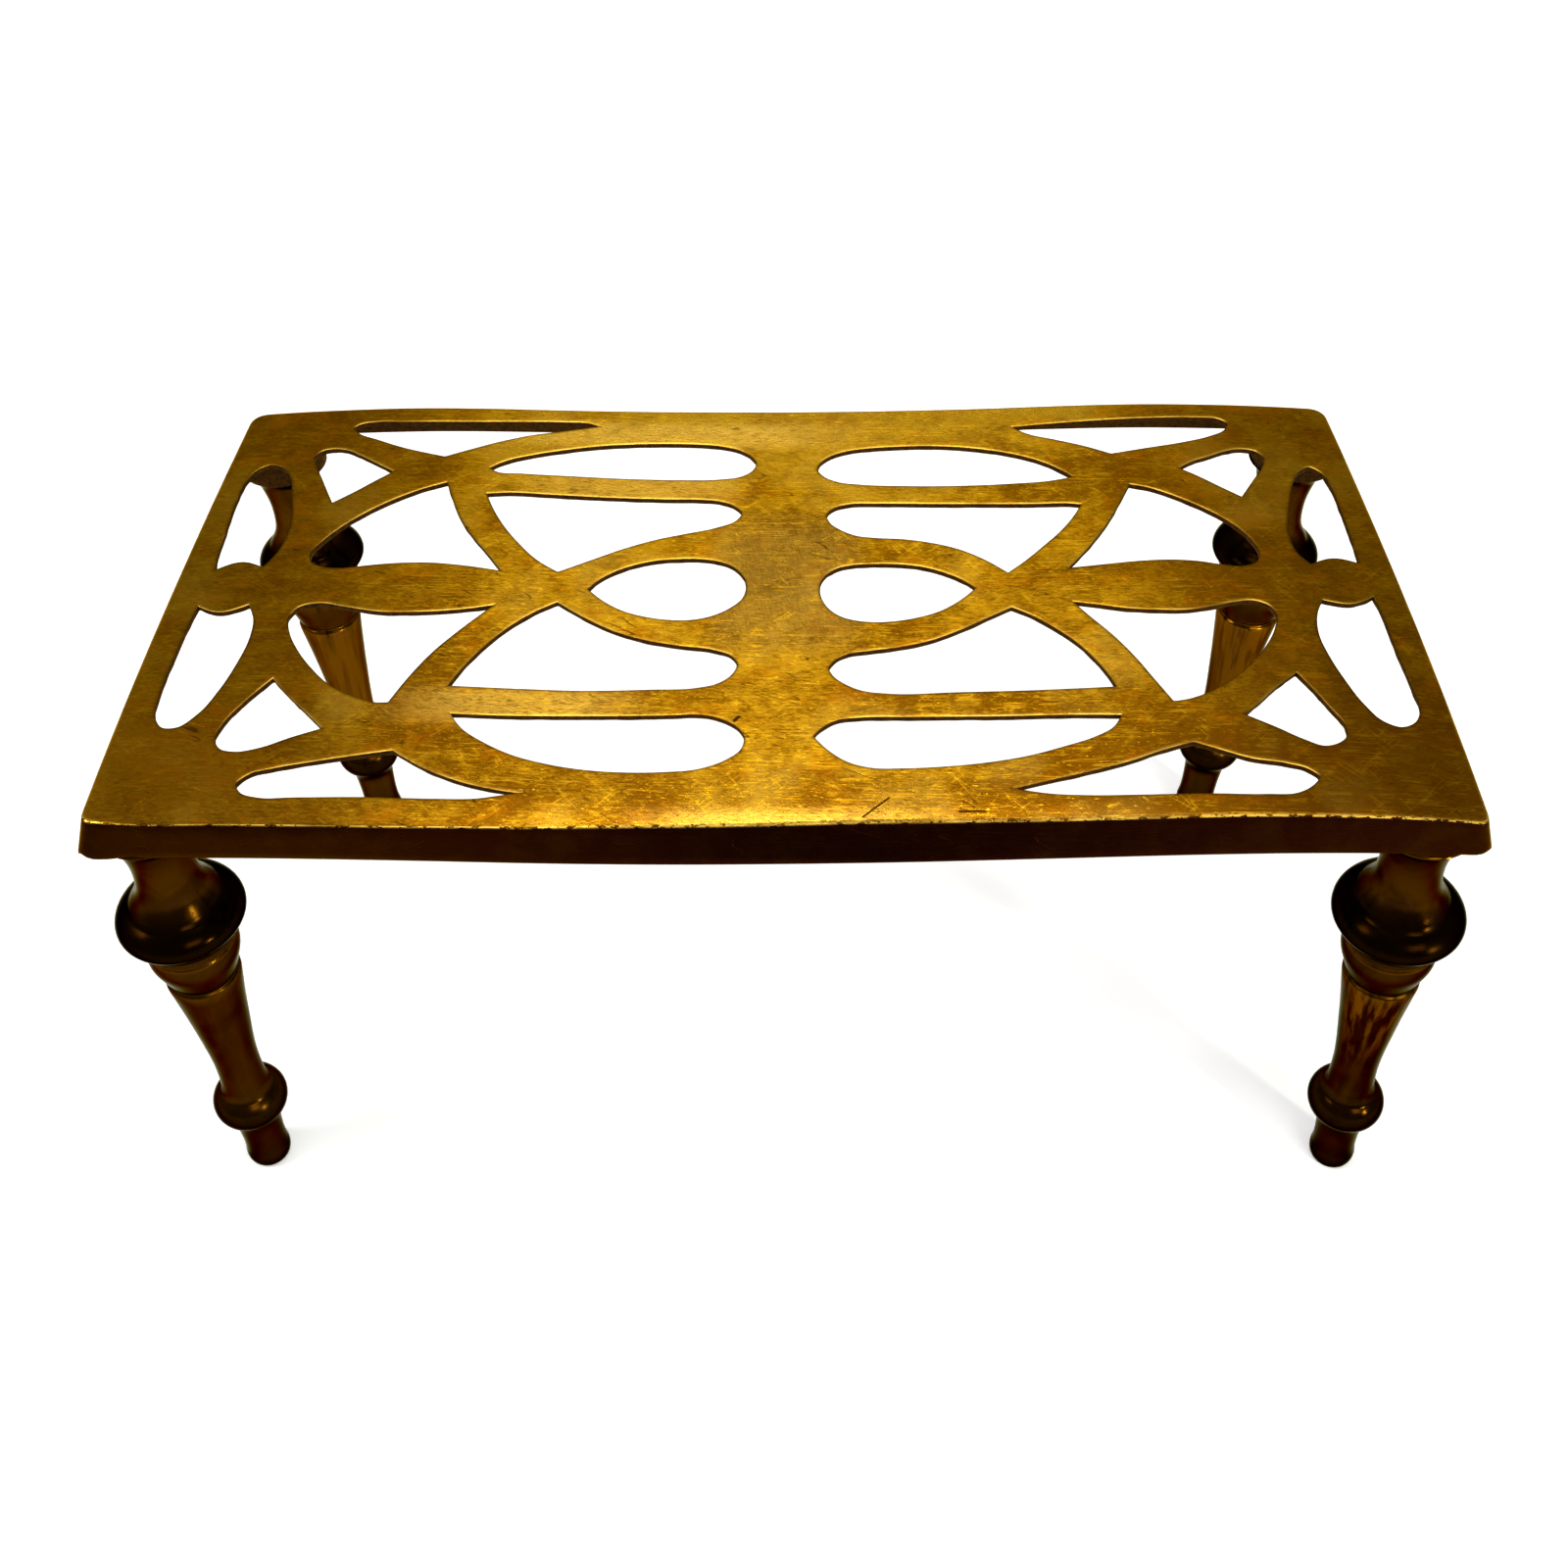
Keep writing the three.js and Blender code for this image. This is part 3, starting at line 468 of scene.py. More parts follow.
def plan_outline(s, inset):
    """The casting's outline from above, drawn in by inset: eight quadratic arcs, sides and corners in turn.

    The back corners are rounder, the front is a little longer than the back, the back bulges by a bell near
    each crest, and all of it sits a little to the left."""
    a, b = s.plate_length / 2 - inset, s.plate_width / 2 - inset
    least = s.rim_wall / 2
    r, q = (max(radius - inset, least) for radius in (s.corner_radius, BACK_CORNER_SHARE * s.corner_radius))
    bow_x, bow_y = 2 * s.end_bow, 2 * s.side_bow
    bends = [
        ((-a + r, -b), (0, -b - bow_y), (a - r, -b), LONG_STEPS),
        ((a - r, -b), (a, -b), (a, -b + r), CORNER_STEPS),
        ((a, -b + r), (a + bow_x, 0), (a, b - q), SHORT_STEPS),
        ((a, b - q), (a, b), (a - q, b), CORNER_STEPS),
        ((a - q, b), (0, b + bow_y), (-a + q, b), LONG_STEPS),
        ((-a + q, b), (-a, b), (-a, b - q), CORNER_STEPS),
        ((-a, b - q), (-a - bow_x, 0), (-a, -b + r), SHORT_STEPS),
        ((-a, -b + r), (-a, -b), (-a + r, -b), CORNER_STEPS),
    ]
    parts = []
    for start, pull, end, steps in bends:
        t = np.linspace(0, 1, steps, endpoint=False)[:, None]
        arc = np.array(start) * (1 - t) ** 2 + 2 * np.array(pull) * t * (1 - t) + np.array(end) * t ** 2
        parts.append(arc)
    x, y = np.vstack(parts).T
    bulge = BACK_BULGE * np.exp(-((np.abs(x) - BULGE_AT) / BULGE_REACH) ** 2) * np.clip(y / b, 0, 1) ** 3
    taper = 1 - s.taper / s.plate_length * 4 * y / s.plate_width
    return np.stack([x * taper + OUTLINE_SHIFT, y + bulge], axis=-1)


# Heights of the casting

def soft_step(way):
    """Three times the square less twice the cube of a way that is kept between 0 and 1."""
    way = np.clip(way, 0, 1)
    return way * way * (3 - 2 * way)


def crest_wave(s, x):
    """Height over the middle of the top: with the square of (x over crest distance) less one, the rise times
    one less the square of that."""
    return s.crest_rise * (1 - ((x / s.crest_distance) ** 2 - 1) ** 2)


def crown_fall(s, y):
    """How far the top has fallen at y: the crown times the square of the way from the land to the front."""
    land = s.crown_land / 2
    return s.crown_drop * (np.maximum(0, -y - land) / (s.plate_width / 2 - land)) ** 2


def hammered(x, y):
    """Unevenness of hand finishing, from 0 to about 0.2 mm below the true surface: a product of two bent
    sines about 40 mm long, and one of a straight sine and cosine about 100 mm long."""
    waves = np.sin(x / 7.1 + 1.3 * np.sin(y / 11.0)) * np.sin(y / 6.3 + 0.9 * np.sin(x / 13.0))
    slow = np.sin(x / 19.0 + 0.7) * np.cos(y / 15.0 - 0.4)
    return UNEVEN_DEPTH - SHORT_RIPPLE * waves - LONG_RIPPLE * slow


def top_height(s, x, y):
    """The top face: crest wave less crown and unevenness, and less the wear of the front strip, which grows
    with the square of the way into it."""
    into_strip = np.maximum(0, -y - s.plate_width / 2 + STRIP_WIDTH) / STRIP_WIDTH
    return crest_wave(s, x) - crown_fall(s, y) - hammered(x, y) - STRIP_WEAR * into_strip ** 2


def seats(s):
    """Middle of each leg's seat as complex positions."""
    a, b = s.plate_length / 2 - s.leg_from_end, s.plate_width / 2 - s.leg_from_side
    return np.array([complex(side[0] * a, side[1] * b) for side, _, _ in LEGS.values()])


def rim_edge(s, x, y):
    """Lower edge of the rim: it has part of the wave, is filed back along the back side, hangs a little
    deeper at the front left and is rounded up at the corners."""
    half_length, half_width = s.plate_length / 2, s.plate_width / 2
    back = s.back_lift * soft_step((y / half_width - BACK_START) / BACK_WAY)
    left = LEFT_DROP / 2 * (1 - np.tanh((x - LEFT_FADE_AT) / LEFT_FADE))
    left = left * np.clip(-y / (LEFT_FULL * half_width), 0, 1)
    to_end = np.clip((np.abs(x) - half_length + CORNER_START) / CORNER_WAY, 0, 1) ** 2
    to_side = np.clip((np.abs(y) - half_width + CORNER_START) / CORNER_WAY, 0, 1) ** 2
    lift = back - left + CORNER_LIFT * to_end * to_side
    return s.rim_follow * crest_wave(s, x) - s.rim_depth - crown_fall(s, y) + lift


def rim_bottom(s, x, y):
    """Lower edge of the rim and of the pads, which are level, with a soft step between them. At the back,
    where the rim is shallower, it comes down to the pads all round their corners."""
    rim = rim_edge(s, x, y)
    away = np.min(np.abs((x + 1j * y)[..., None] - seats(s)), axis=-1)
    behind = np.clip(y / BACK_PAD_WAY, 0, 1)
    reach = s.pad_radius + PAD_STEP / 2 + BACK_PAD_REACH * behind
    pad = soft_step((reach - away) / (PAD_STEP + BACK_PAD_STEP * behind))
    return rim * (1 - pad) - s.pad_drop * pad


def flared(s, plan, height):
    """Plan positions spread with the rim: outwards by flare times depth over rim depth at the outline. Along
    the front the upper edge is filed off its line by FRONT_EDGE, and the lower edge isn't."""
    x, y = plan[..., 0], plan[..., 1]
    deep = -(height + crown_fall(s, y)) / s.rim_depth
    filed = np.interp(x * DRAWN_LENGTH / s.plate_length, *smooth_run(FRONT_EDGE, EDGE_STEPS).T)
    filed = filed * (1 - np.clip(deep, 0, 1)) * np.clip(-2 * y / s.plate_width, 0, 1) ** 3
    spread = s.rim_flare * deep
    return x * (1 + spread / (s.plate_length / 2)), y * (1 + spread / (s.plate_width / 2)) + filed


# Mesh gathering

# Spacing of the loose points in the top face and in the underside, and how clear they stay of every edge
TOP_SPACING, TOP_CLEARANCE = 2.5, 1.3
UNDER_SPACING, UNDER_CLEARANCE = 3.2, 1.6


class Casting:
    """Vertices, faces and surface marks of one watertight mesh, gathered piece by piece."""

    def __init__(self, marks):
        self.places, self.faces = [], []
        self.marks = {name: [] for name in marks}
        self.count = 0

    def add(self, x, y, z, **marks):
        """Adds points of any array shape and returns their numbers in that shape."""
        x, y, z = np.broadcast_arrays(x, y, z)
        numbers = self.count + np.arange(x.size).reshape(x.shape)
        self.places.append(np.stack([x, y, z], axis=-1).reshape(-1, 3))
        for name, values in self.marks.items():
            values.append(np.broadcast_to(marks.get(name, 0.0), x.shape).reshape(-1))
        self.count += x.size
        return numbers

    def weave(self, grid, outward):
        """Quads of a grid of numbers whose rows close on themselves. Rows run along the path, columns along
        the profile."""
        here, there = grid, np.roll(grid, -1, axis=0)
        quads = np.stack([here[:, :-1], there[:, :-1], there[:, 1:], here[:, 1:]], axis=-1).reshape(-1, 4)
        self.faces.extend((quads if outward else quads[:, ::-1]).tolist())

    def fan(self, ring, tip, outward):
        """Triangles from a closed ring to one tip."""
        triangles = np.stack([ring, np.roll(ring, -1), np.full(len(ring), tip)], axis=-1)
        self.faces.extend((triangles if outward else triangles[:, ::-1]).tolist())

    def fill(self, outer, holes, inner, upward):
        """Triangles between an outer ring and holes, through loose inner points. A triangle whose corners
        all lie on one ring is kept only if its middle is in the metal."""
        rings = [outer] + holes
        numbers = np.concatenate(rings + [inner])
        places = np.vstack(self.places)[:, :2]
        flat = places[numbers]
        ring_of = [np.full(len(r), i) for i, r in enumerate(rings)] + [np.full(len(inner), -1)]
        ring_of = np.concatenate(ring_of)
        starts = np.cumsum([0] + [len(r) for r in rings])
        edges = np.vstack([np.stack([np.arange(a, b), np.append(np.arange(a + 1, b), a)], axis=-1)
                           for a, b in zip(starts[:-1], starts[1:])])
        points = [tuple(p) for p in flat]
        made, _, triangles, *_ = delaunay_2d_cdt(points, edges.tolist(), [], 0, 1e-7, False)
        if len(made) != len(flat):
            raise RuntimeError("the rings of the casting cross each other")
        triangles = np.array(triangles)
        corners = flat[triangles]
        same = ring_of[triangles]
        keep = np.ones(len(triangles), bool)
        for i, ring in enumerate(rings):
            picked = np.where((same == i).all(axis=1))[0]
            middles = corners[picked].mean(axis=1)
            keep[picked] = inside(middles, places[ring]) == (i == 0)
        triangles, corners = triangles[keep], corners[keep]
        first, second = corners[:, 1] - corners[:, 0], corners[:, 2] - corners[:, 0]
        turned = (first[:, 0] * second[:, 1] - first[:, 1] * second[:, 0] > 0) != upward
        triangles[turned] = triangles[turned][:, ::-1]
        self.faces.extend(numbers[triangles].tolist())

    def mesh(self, name):
        """The finished mesh, in metres, in the frame."""
        places = (np.vstack(self.places) + TOP_MIDDLE) / 1000
        mesh = bpy.data.meshes.new(name)
        mesh.from_pydata(places.tolist(), [], self.faces)
        for mark, values in self.marks.items():
            layer = mesh.attributes.new(mark, "FLOAT", "POINT")
            layer.data.foreach_set("value", np.concatenate(values).astype(np.float32))
        mesh.polygons.foreach_set("use_smooth", np.ones(len(mesh.polygons), bool))
        mesh.validate()
        mesh.update()
        return mesh


def inside(points, ring):
    """Whether each point is inside a ring, by counting how many edges a ray to the right crosses."""
    x, y = points[:, :1], points[:, 1:]
    ax, ay = ring[None, :, 0], ring[None, :, 1]
    bx, by = np.roll(ax, -1), np.roll(ay, -1)
    straddles = (ay > y) != (by > y)
    with np.errstate(divide="ignore", invalid="ignore"):
        crossing = ax + (y - ay) * (bx - ax) / (by - ay)
    return np.sum(straddles & (x < crossing), axis=1) % 2 == 1


def distance(points, ring):
    """From each point to the nearest point of a ring."""
    here = points[:, 0] + 1j * points[:, 1]
    there = ring[:, 0] + 1j * ring[:, 1]
    return np.abs(here[:, None] - there[None, :]).min(axis=1)


def field_points(s, spacing, outer, loops, clearance):
    """Points of a staggered field that lie in the metal, clear of every ring. Its rows are 0.87 of the
    spacing apart, as in a field of even triangles."""
    rows = np.arange(-s.plate_width / 2, s.plate_width / 2, spacing * 0.87)
    columns = np.arange(-s.plate_length / 2, s.plate_length / 2, spacing)
    x, y = np.meshgrid(columns, rows)
    x = x + (np.arange(len(rows)) % 2)[:, None] * spacing / 2
    points = np.stack([x.ravel(), y.ravel()], axis=-1)
    points = points[inside(points, outer)]
    for ring in loops:
        low, high = ring.min(axis=0) - clearance, ring.max(axis=0) + clearance
        near = ((points > low) & (points < high)).all(axis=1)
        close = points[near]
        bad = inside(close, ring) | (distance(close, ring) < clearance)
        keep = np.ones(len(points), bool)
        keep[np.where(near)[0][bad]] = False
        points = points[keep]
    parts = [distance(part, outer[::3]) for part in np.array_split(points, 12)]
    return points[np.concatenate(parts) > clearance]


# The top casting

# Small forms on the casting, in millimetres: how far into an opening its profile is moved and how rough the
# wall is, the easing of the rim's lower edge outside and inside, the fillet of the hollow and the cone at
# the end of a bore
WALL_SHIFT, WALL_ROUGHNESS = 0.32, 0.028
RIM_EASE, HOLLOW_EASE, HOLLOW_FILLET = 0.55, 0.45, 0.6
BORE_CONE = 0.6


def add_openings(body, s):
    """Edge of each opening: a profile of distance into the metal and depth under the top face, carried round
    the opening's loop. The upper edge is worn round, the wall leans a little and is rough, the lower edge is
    eased. Edges on the far side of the metal are worn bright with a painted highlight, and painted shade
    sits along the others."""
    r, t = s.edge_round, s.web_thickness
    # The profile and its marks, from the top face over the edge and down to the underside
    bend = np.radians([0, 22.5, 45, 67.5, 90])
    into = np.concatenate([[0.95], r * (1 - np.sin(bend)), [0.04, 0.14, 0.2, 0.32, 0.5]])
    depth = np.concatenate([[0], 0.9 * r * (1 - np.cos(bend)), [0.62 * t, t - 0.28, t - 0.08, t, t]])
    worn = np.array([0, 0.3, 0.9, 1, 0.5, 0, 0, 0, 0, 0, 0])
    cast = np.array([0, 0, 0, 0.1, 0.6, 1, 1, 1, 1, 1, 1])
    grime = np.array([0, 0.5, 0.85, 1, 1, 0.8, 0.4, 0, 0, 0, 0])
    uneven = np.array([0, 0, 0, 0, 0, 0, 1, 1, 1, 0.6, 0])
    tops, unders = [], []
    for number, (loop, along) in enumerate(opening_loops(s).values()):
        out = along / 1j
        turn = np.linspace(0, 2 * math.pi, len(loop), endpoint=False)
        rough = sum(np.sin(turn * waves + 1.7 * waves + number) for waves in (7, 13, 22, 31))
        shift = into + WALL_ROUGHNESS * rough[:, None] * cast * uneven
        place = loop[:, None] + out[:, None] * (shift - WALL_SHIFT)
        x, y = place.real, place.imag
        z = top_height(s, x, y) - depth
        # Painted highlight and painted shade: edges that face the front get more of the worn mark, the
        # others get painted shade
        facing = np.clip(out.imag * 1.6 - 0.3, 0, 1)[:, None]
        marks = {"worn": worn * (0.1 + 0.9 * facing), "cast": cast, "grime": grime * (1 - facing)}
        grid = body.add(x, y, z, **marks)
        body.weave(grid, True)
        tops.append(grid[:, 0])
        unders.append(grid[:, -1])
    return tops, unders


def add_rim(body, s):
    """Outside of the casting: a profile of the worn upper edge, the flared face and the eased lower edge,
    carried round the outline. Each column has its places and how worn and how much rim side it is."""
    r = s.rim_round
    columns = []
    edge = plan_outline(s, 0)
    for inset, worn in ((r + 0.5, 0.0), (r, 0.15)):
        plan = plan_outline(s, inset)
        x, y = flared(s, plan, top_height(s, plan[:, 0], plan[:, 1]))
        columns.append((x, y, top_height(s, x, y), worn, 0.0))
    level = top_height(s, edge[:, 0], edge[:, 1])
    for bend, worn, side in ((22.5, 0.8, 0), (45, 1, 0.1), (67.5, 0.6, 0.6), (90, 0.1, 1)):
        bend = math.radians(bend)
        plan = plan_outline(s, r * (1 - math.sin(bend)))
        z = level - r * (1 - math.cos(bend))
        x, y = flared(s, plan, z)
        columns.append((x, y, z, worn, side))
    high = level - r
    x, y = flared(s, edge, -s.rim_depth)
    low = rim_bottom(s, x, y)
    for part in (0.2, 0.4, 0.6, 0.8, 1):
        z = high + (low + RIM_EASE - high) * part
        x, y = flared(s, edge, z)
        columns.append((x, y, z, 0.0, 1.0))
    for bend in (45, 90):
        bend = math.radians(bend)
        plan = plan_outline(s, RIM_EASE * (1 - math.cos(bend)))
        x, y = flared(s, plan, low)
        columns.append((x, y, low + RIM_EASE * (1 - math.sin(bend)), 0.25, 1.0))
    grids = [body.add(x, y, z, worn=worn, side=side) for x, y, z, worn, side in columns]
    grid = np.stack(grids, axis=-1)
    body.weave(grid, False)
    return grid[:, 0], grid[:, -1]


def pocket_ring(s, inset, height, spare):
    """Inner wall of the rim at one height, with each corner cut off by its pad: a point that falls in the
    circle of a pad goes to that circle, at an angle that moves evenly with the point's place in its run."""
    plan = plan_outline(s, inset)
    x, y = flared(s, plan, height)
    ring = x + 1j * y
    for seat in seats(s):
        corner = int(np.argmax((ring * np.conj(seat)).real))
        within = np.where(np.abs(ring - seat) < s.pad_radius + spare)[0]
        places = (within - corner + len(ring) // 2) % len(ring) - len(ring) // 2
        number = int(places.max() - places.min()) + 1
        order = (corner + places.min() + np.arange(number)) % len(ring)
        towards = np.angle(-seat)
        start = towards + np.angle(np.exp(1j * (np.angle(ring[order[0] - 1] - seat) - towards)))
        end_at = (order[-1] + 1) % len(ring)
        end = towards + np.angle(np.exp(1j * (np.angle(ring[end_at] - seat) - towards)))
        angles = start + (end - start) * (np.arange(number) + 1) / (number + 1)
        ring[order] = seat + (s.pad_radius + spare) * np.exp(1j * angles)
    return ring


def add_pocket(body, s):
    """Hollow under the top: eased lower edge, inner wall and the curve into the underside."""
    wall, fillet = s.rim_wall, HOLLOW_FILLET
    edge = plan_outline(s, wall)
    under = top_height(s, edge[:, 0], edge[:, 1]) - s.web_thickness
    low = rim_edge(s, edge[:, 0], edge[:, 1])
    columns = []
    for bend in (0, 45, 90):
        bend = math.radians(bend)
        out = HOLLOW_EASE * (1 - math.sin(bend))
        ring = pocket_ring(s, wall - out, low, -out)
        level = rim_bottom(s, ring.real, ring.imag) + HOLLOW_EASE * (1 - math.cos(bend))
        columns.append((ring, level))
    base = columns[-1][1]
    for part in (0.25, 0.5, 0.75, 1):
        ring = pocket_ring(s, wall, low + (under - fillet - low) * part, 0)
        columns.append((ring, base + (under - fillet - base) * part))
    for bend in (30, 60, 90):
        bend = math.radians(bend)
        spare = fillet * (1 - math.cos(bend))
        z = under - fillet * (1 - math.sin(bend))
        columns.append((pocket_ring(s, wall + spare, z, spare), z))
    spare = fillet + 0.12
    ring = pocket_ring(s, wall + spare, under, spare)
    columns.append((ring, top_height(s, ring.real, ring.imag) - s.web_thickness))
    grids = [body.add(ring.real, ring.imag, z, cast=1.0) for ring, z in columns]
    grid = np.stack(grids, axis=-1)
    body.weave(grid, False)
    return grid[:, 0], grid[:, -1]


def add_bores(body, s):
    """Blind hole for a stud in each pad: a straight wall and a shallow cone at its end."""
    angles = np.linspace(0, 2 * math.pi, 32, endpoint=False)
    rings = []
    for seat in seats(s):
        x = seat.real + s.bore_radius * np.cos(angles)
        y = seat.imag + s.bore_radius * np.sin(angles)
        mouth = body.add(x, y, -s.pad_drop, cast=0.5)
        end = body.add(x, y, -s.pad_drop + s.bore_depth - BORE_CONE, cast=0.5)
        tip = body.add(seat.real, seat.imag, -s.pad_drop + s.bore_depth, cast=0.5)
        body.weave(np.stack([mouth, end], axis=-1), False)
        body.fan(end, int(tip), False)
        rings.append(mouth)
    return rings


def top_mesh(s):
    """The whole casting: openings, rim, hollow and bores, joined by its top, underside and lower faces."""
    body = Casting(("worn", "cast", "side", "grime"))
    tops, unders = add_openings(body, s)
    rim_top, rim_low = add_rim(body, s)
    hollow_low, hollow_top = add_pocket(body, s)
    bores = add_bores(body, s)
    places = np.vstack(body.places)
    rings = [places[r, :2] for r in tops]
    field = field_points(s, TOP_SPACING, places[rim_top, :2], rings, TOP_CLEARANCE)
    inner = body.add(field[:, 0], field[:, 1], top_height(s, field[:, 0], field[:, 1]))
    body.fill(rim_top, tops, inner, True)
    places = np.vstack(body.places)
    rings = [places[r, :2] for r in unders]
    field = field_points(s, UNDER_SPACING, places[hollow_top, :2], rings, UNDER_CLEARANCE)
    z = top_height(s, field[:, 0], field[:, 1]) - s.web_thickness
    inner = body.add(field[:, 0], field[:, 1], z, cast=1.0)
    body.fill(hollow_top, unders, inner, False)
    body.fill(rim_low, [hollow_low] + bores, np.array([], int), False)
    return body.mesh("top_casting")


# Legs

def leg_profile(s):
    """Half section of a leg from the seat down: rows of radius, height under the seat and how far the row
    stands proud, so that it is worn bright. Straight cones, spans of one cubic and quarters of ellipses."""
    rows = []

    def line(points, steps, worn=0.0):
        """A straight line between two points, or a smooth run through more."""
        p = np.asarray(points, float)
        run = np.vstack([smooth_run(p, steps), p[-1:]])
        rows.extend((r, z, worn) for r, z in run)

    def oval(middle, wide, high, start, end, steps, worn):
        """Part of an ellipse round a point of the axis, proud within 48 degrees of its widest place."""
        angle = np.linspace(start, end, steps)
        glow = worn * np.clip(np.cos(angle) * 3 - 2, 0, 1)
        rows.extend(zip(wide * np.cos(angle), middle + high * np.sin(angle), glow))

    ball_middle = -s.neck_height - s.ball_rise
    bead_top = ball_middle - s.ball_fall
    groove_top = bead_top - s.bead_height
    ring_top = groove_top - s.groove_height
    shaft_top = ring_top - s.ring_height
    peg_top = -s.leg_height + s.peg_height
    small_middle = peg_top + s.small_ball_height / 2
    shaft_bottom = peg_top + s.small_ball_height

    # Flared seat and neck
    line([(s.collar_radius, 0), (s.collar_radius - 0.15, -0.4)], 2, 0.6)
    line([(s.collar_radius - 0.15, -0.4), (s.neck_top_radius + 0.55, -s.collar_height + 0.5)], 3, 0.2)
    line([(s.neck_top_radius, -s.collar_height), (s.neck_waist_radius, -s.neck_height * 0.6),
          ((s.neck_waist_radius + s.neck_top_radius) / 2, -s.neck_height * 0.88),
          (s.neck_top_radius + 1.2, -s.neck_height - 1)], 6)

    # Large ball and the bead under it
    oval(ball_middle, s.ball_radius, s.ball_rise, math.acos(0.72), 0, 11, 0.5)
    ball_end = -math.acos((s.bead_radius - 0.3) / s.ball_radius)
    oval(ball_middle, s.ball_radius, s.ball_fall / math.sin(-ball_end), ball_end / 6, ball_end, 5, 0.3)
    line([(s.bead_radius - 0.75, bead_top + 0.1),
          (s.bead_radius - 0.1, bead_top - s.bead_height * 0.25),
          (s.bead_radius, bead_top - s.bead_height * 0.5),
          (s.bead_radius - 0.2, bead_top - s.bead_height * 0.85),
          (s.bead_radius - 0.9, groove_top - 0.25)], 2, 0.8)

    # Groove and ring
    line([(s.groove_radius + 1.0, groove_top - s.groove_height * 0.16),
          (s.groove_radius, groove_top - s.groove_height * 0.42),
          (s.groove_radius - 0.1, ring_top + s.groove_height * 0.3),
          (s.groove_radius + 0.15, ring_top + 0.35)], 3)
    line([(s.ring_radius - 0.65, ring_top + 0.05), (s.ring_radius - 0.3, ring_top - 0.5)], 2, 0.9)
    line([(s.ring_radius - 0.3, ring_top - 0.5), (s.ring_radius, ring_top - s.ring_height * 0.25),
          ((s.ring_radius + s.ring_foot_radius) / 2, ring_top - s.ring_height * 0.7),
          (s.ring_foot_radius, shaft_top)], 5, 0.15)

    # Shaft
    line([(s.ring_foot_radius - 0.12, shaft_top - 0.35), (s.shaft_top_radius - 0.25, shaft_top - 0.8)], 2)
    line([(s.shaft_top_radius, shaft_top - 1.3), (s.shaft_top_radius, shaft_top - 2.6)], 2, 0.5)
    line([(s.shaft_top_radius, shaft_top - 2.6),
          (s.shaft_top_radius * 0.42 + s.shaft_waist_radius * 0.58, shaft_top * 0.58 + shaft_bottom * 0.42),
          (s.shaft_waist_radius + 0.05, shaft_bottom + 7),
          (s.shaft_waist_radius + 0.35, shaft_bottom + 0.2)], 9)

    # Small ball and peg foot
    small_start = math.acos(0.68)
    oval(small_middle, s.small_ball_radius, s.small_ball_height / 2, small_start, -small_start, 19, 0.6)
    line([(s.peg_radius + 0.4, peg_top - 0.4), (s.peg_radius - 0.15, -s.leg_height + s.peg_height * 0.35),
          (s.peg_radius + 0.15, -s.leg_height + s.foot_round * 2.2),
          (s.peg_radius - s.foot_round * 0.25, -s.leg_height + s.foot_round * 0.9),
          (s.peg_radius - s.foot_round, -s.leg_height)], 4, 0.1)

    table = np.array(rows)
    step = np.hypot(*np.diff(table[:, :2], axis=0).T)
    return table[np.append(True, step > 0.02)]


def leg_mesh(s, top, side, foot_shift, off, name):
    """One leg: its profile turned about its axis, leaned so that the foot stands where it should, and slid
    along the axis at both ends until the seat and the foot are level. The stud's bore stays upright. The
    turning is out of round by up to 0.4 percent each way and stays inside its true radius."""
    body = Casting(("proud", "height"))
    rows = leg_profile(s)
    angles = np.linspace(0, 2 * math.pi, int(s.around), endpoint=False)[:, None]
    radius, level = rows[None, :, 0], rows[None, :, 1]
    wobble = 0.9955 + 0.0025 * np.sin(2 * angles + level / 31) + 0.0015 * np.sin(3 * angles - level / 17)
    x, y, z = np.broadcast_arrays(radius * wobble * np.cos(angles), radius * wobble * np.sin(angles), level)
    local = np.stack([x, y, z], axis=-1)
    sideways, backwards = (math.atan(shift / s.leg_height) for shift in foot_shift)
    turn = np.array(Matrix.Rotation(backwards, 3, "X") @ Matrix.Rotation(-sideways, 3, "Y"))
    leaned = local @ turn.T
    axis = turn @ np.array([0, 0, 1.0])
    z = leaned[..., 2]
    over = np.maximum(z, 0)
    over[:, 0] = z[:, 0]
    under = np.minimum(z + s.leg_height, 0)
    under[:, -1] = z[:, -1] + s.leg_height
    leaned = leaned - (over + under)[..., None] / axis[2] * axis
    seat = np.array([side[0] * (top.plate_length / 2 - top.leg_from_end),
                     side[1] * (top.plate_width / 2 - top.leg_from_side), -top.pad_drop])
    place = leaned + seat + np.array([*off, 0])
    marks = {"proud": rows[None, :, 2], "height": -level / s.leg_height}
    skin = body.add(place[..., 0], place[..., 1], place[..., 2], **marks)
    body.weave(skin, False)
    foot = place[:, -1].mean(axis=0)
    body.fan(skin[:, -1], int(body.add(*foot, height=1.0)), False)
    x = seat[0] + s.bore_radius * np.cos(angles[:, 0])
    y = seat[1] + s.bore_radius * np.sin(angles[:, 0])
    mouth = body.add(x, y, seat[2])
    end = body.add(x, y, seat[2] - s.bore_depth)
    body.weave(np.stack([end, mouth, skin[:, 0]], axis=-1), False)
    body.fan(end, int(body.add(seat[0], seat[1], seat[2] - s.bore_depth)), True)
    return body.mesh(name)


# Finishes

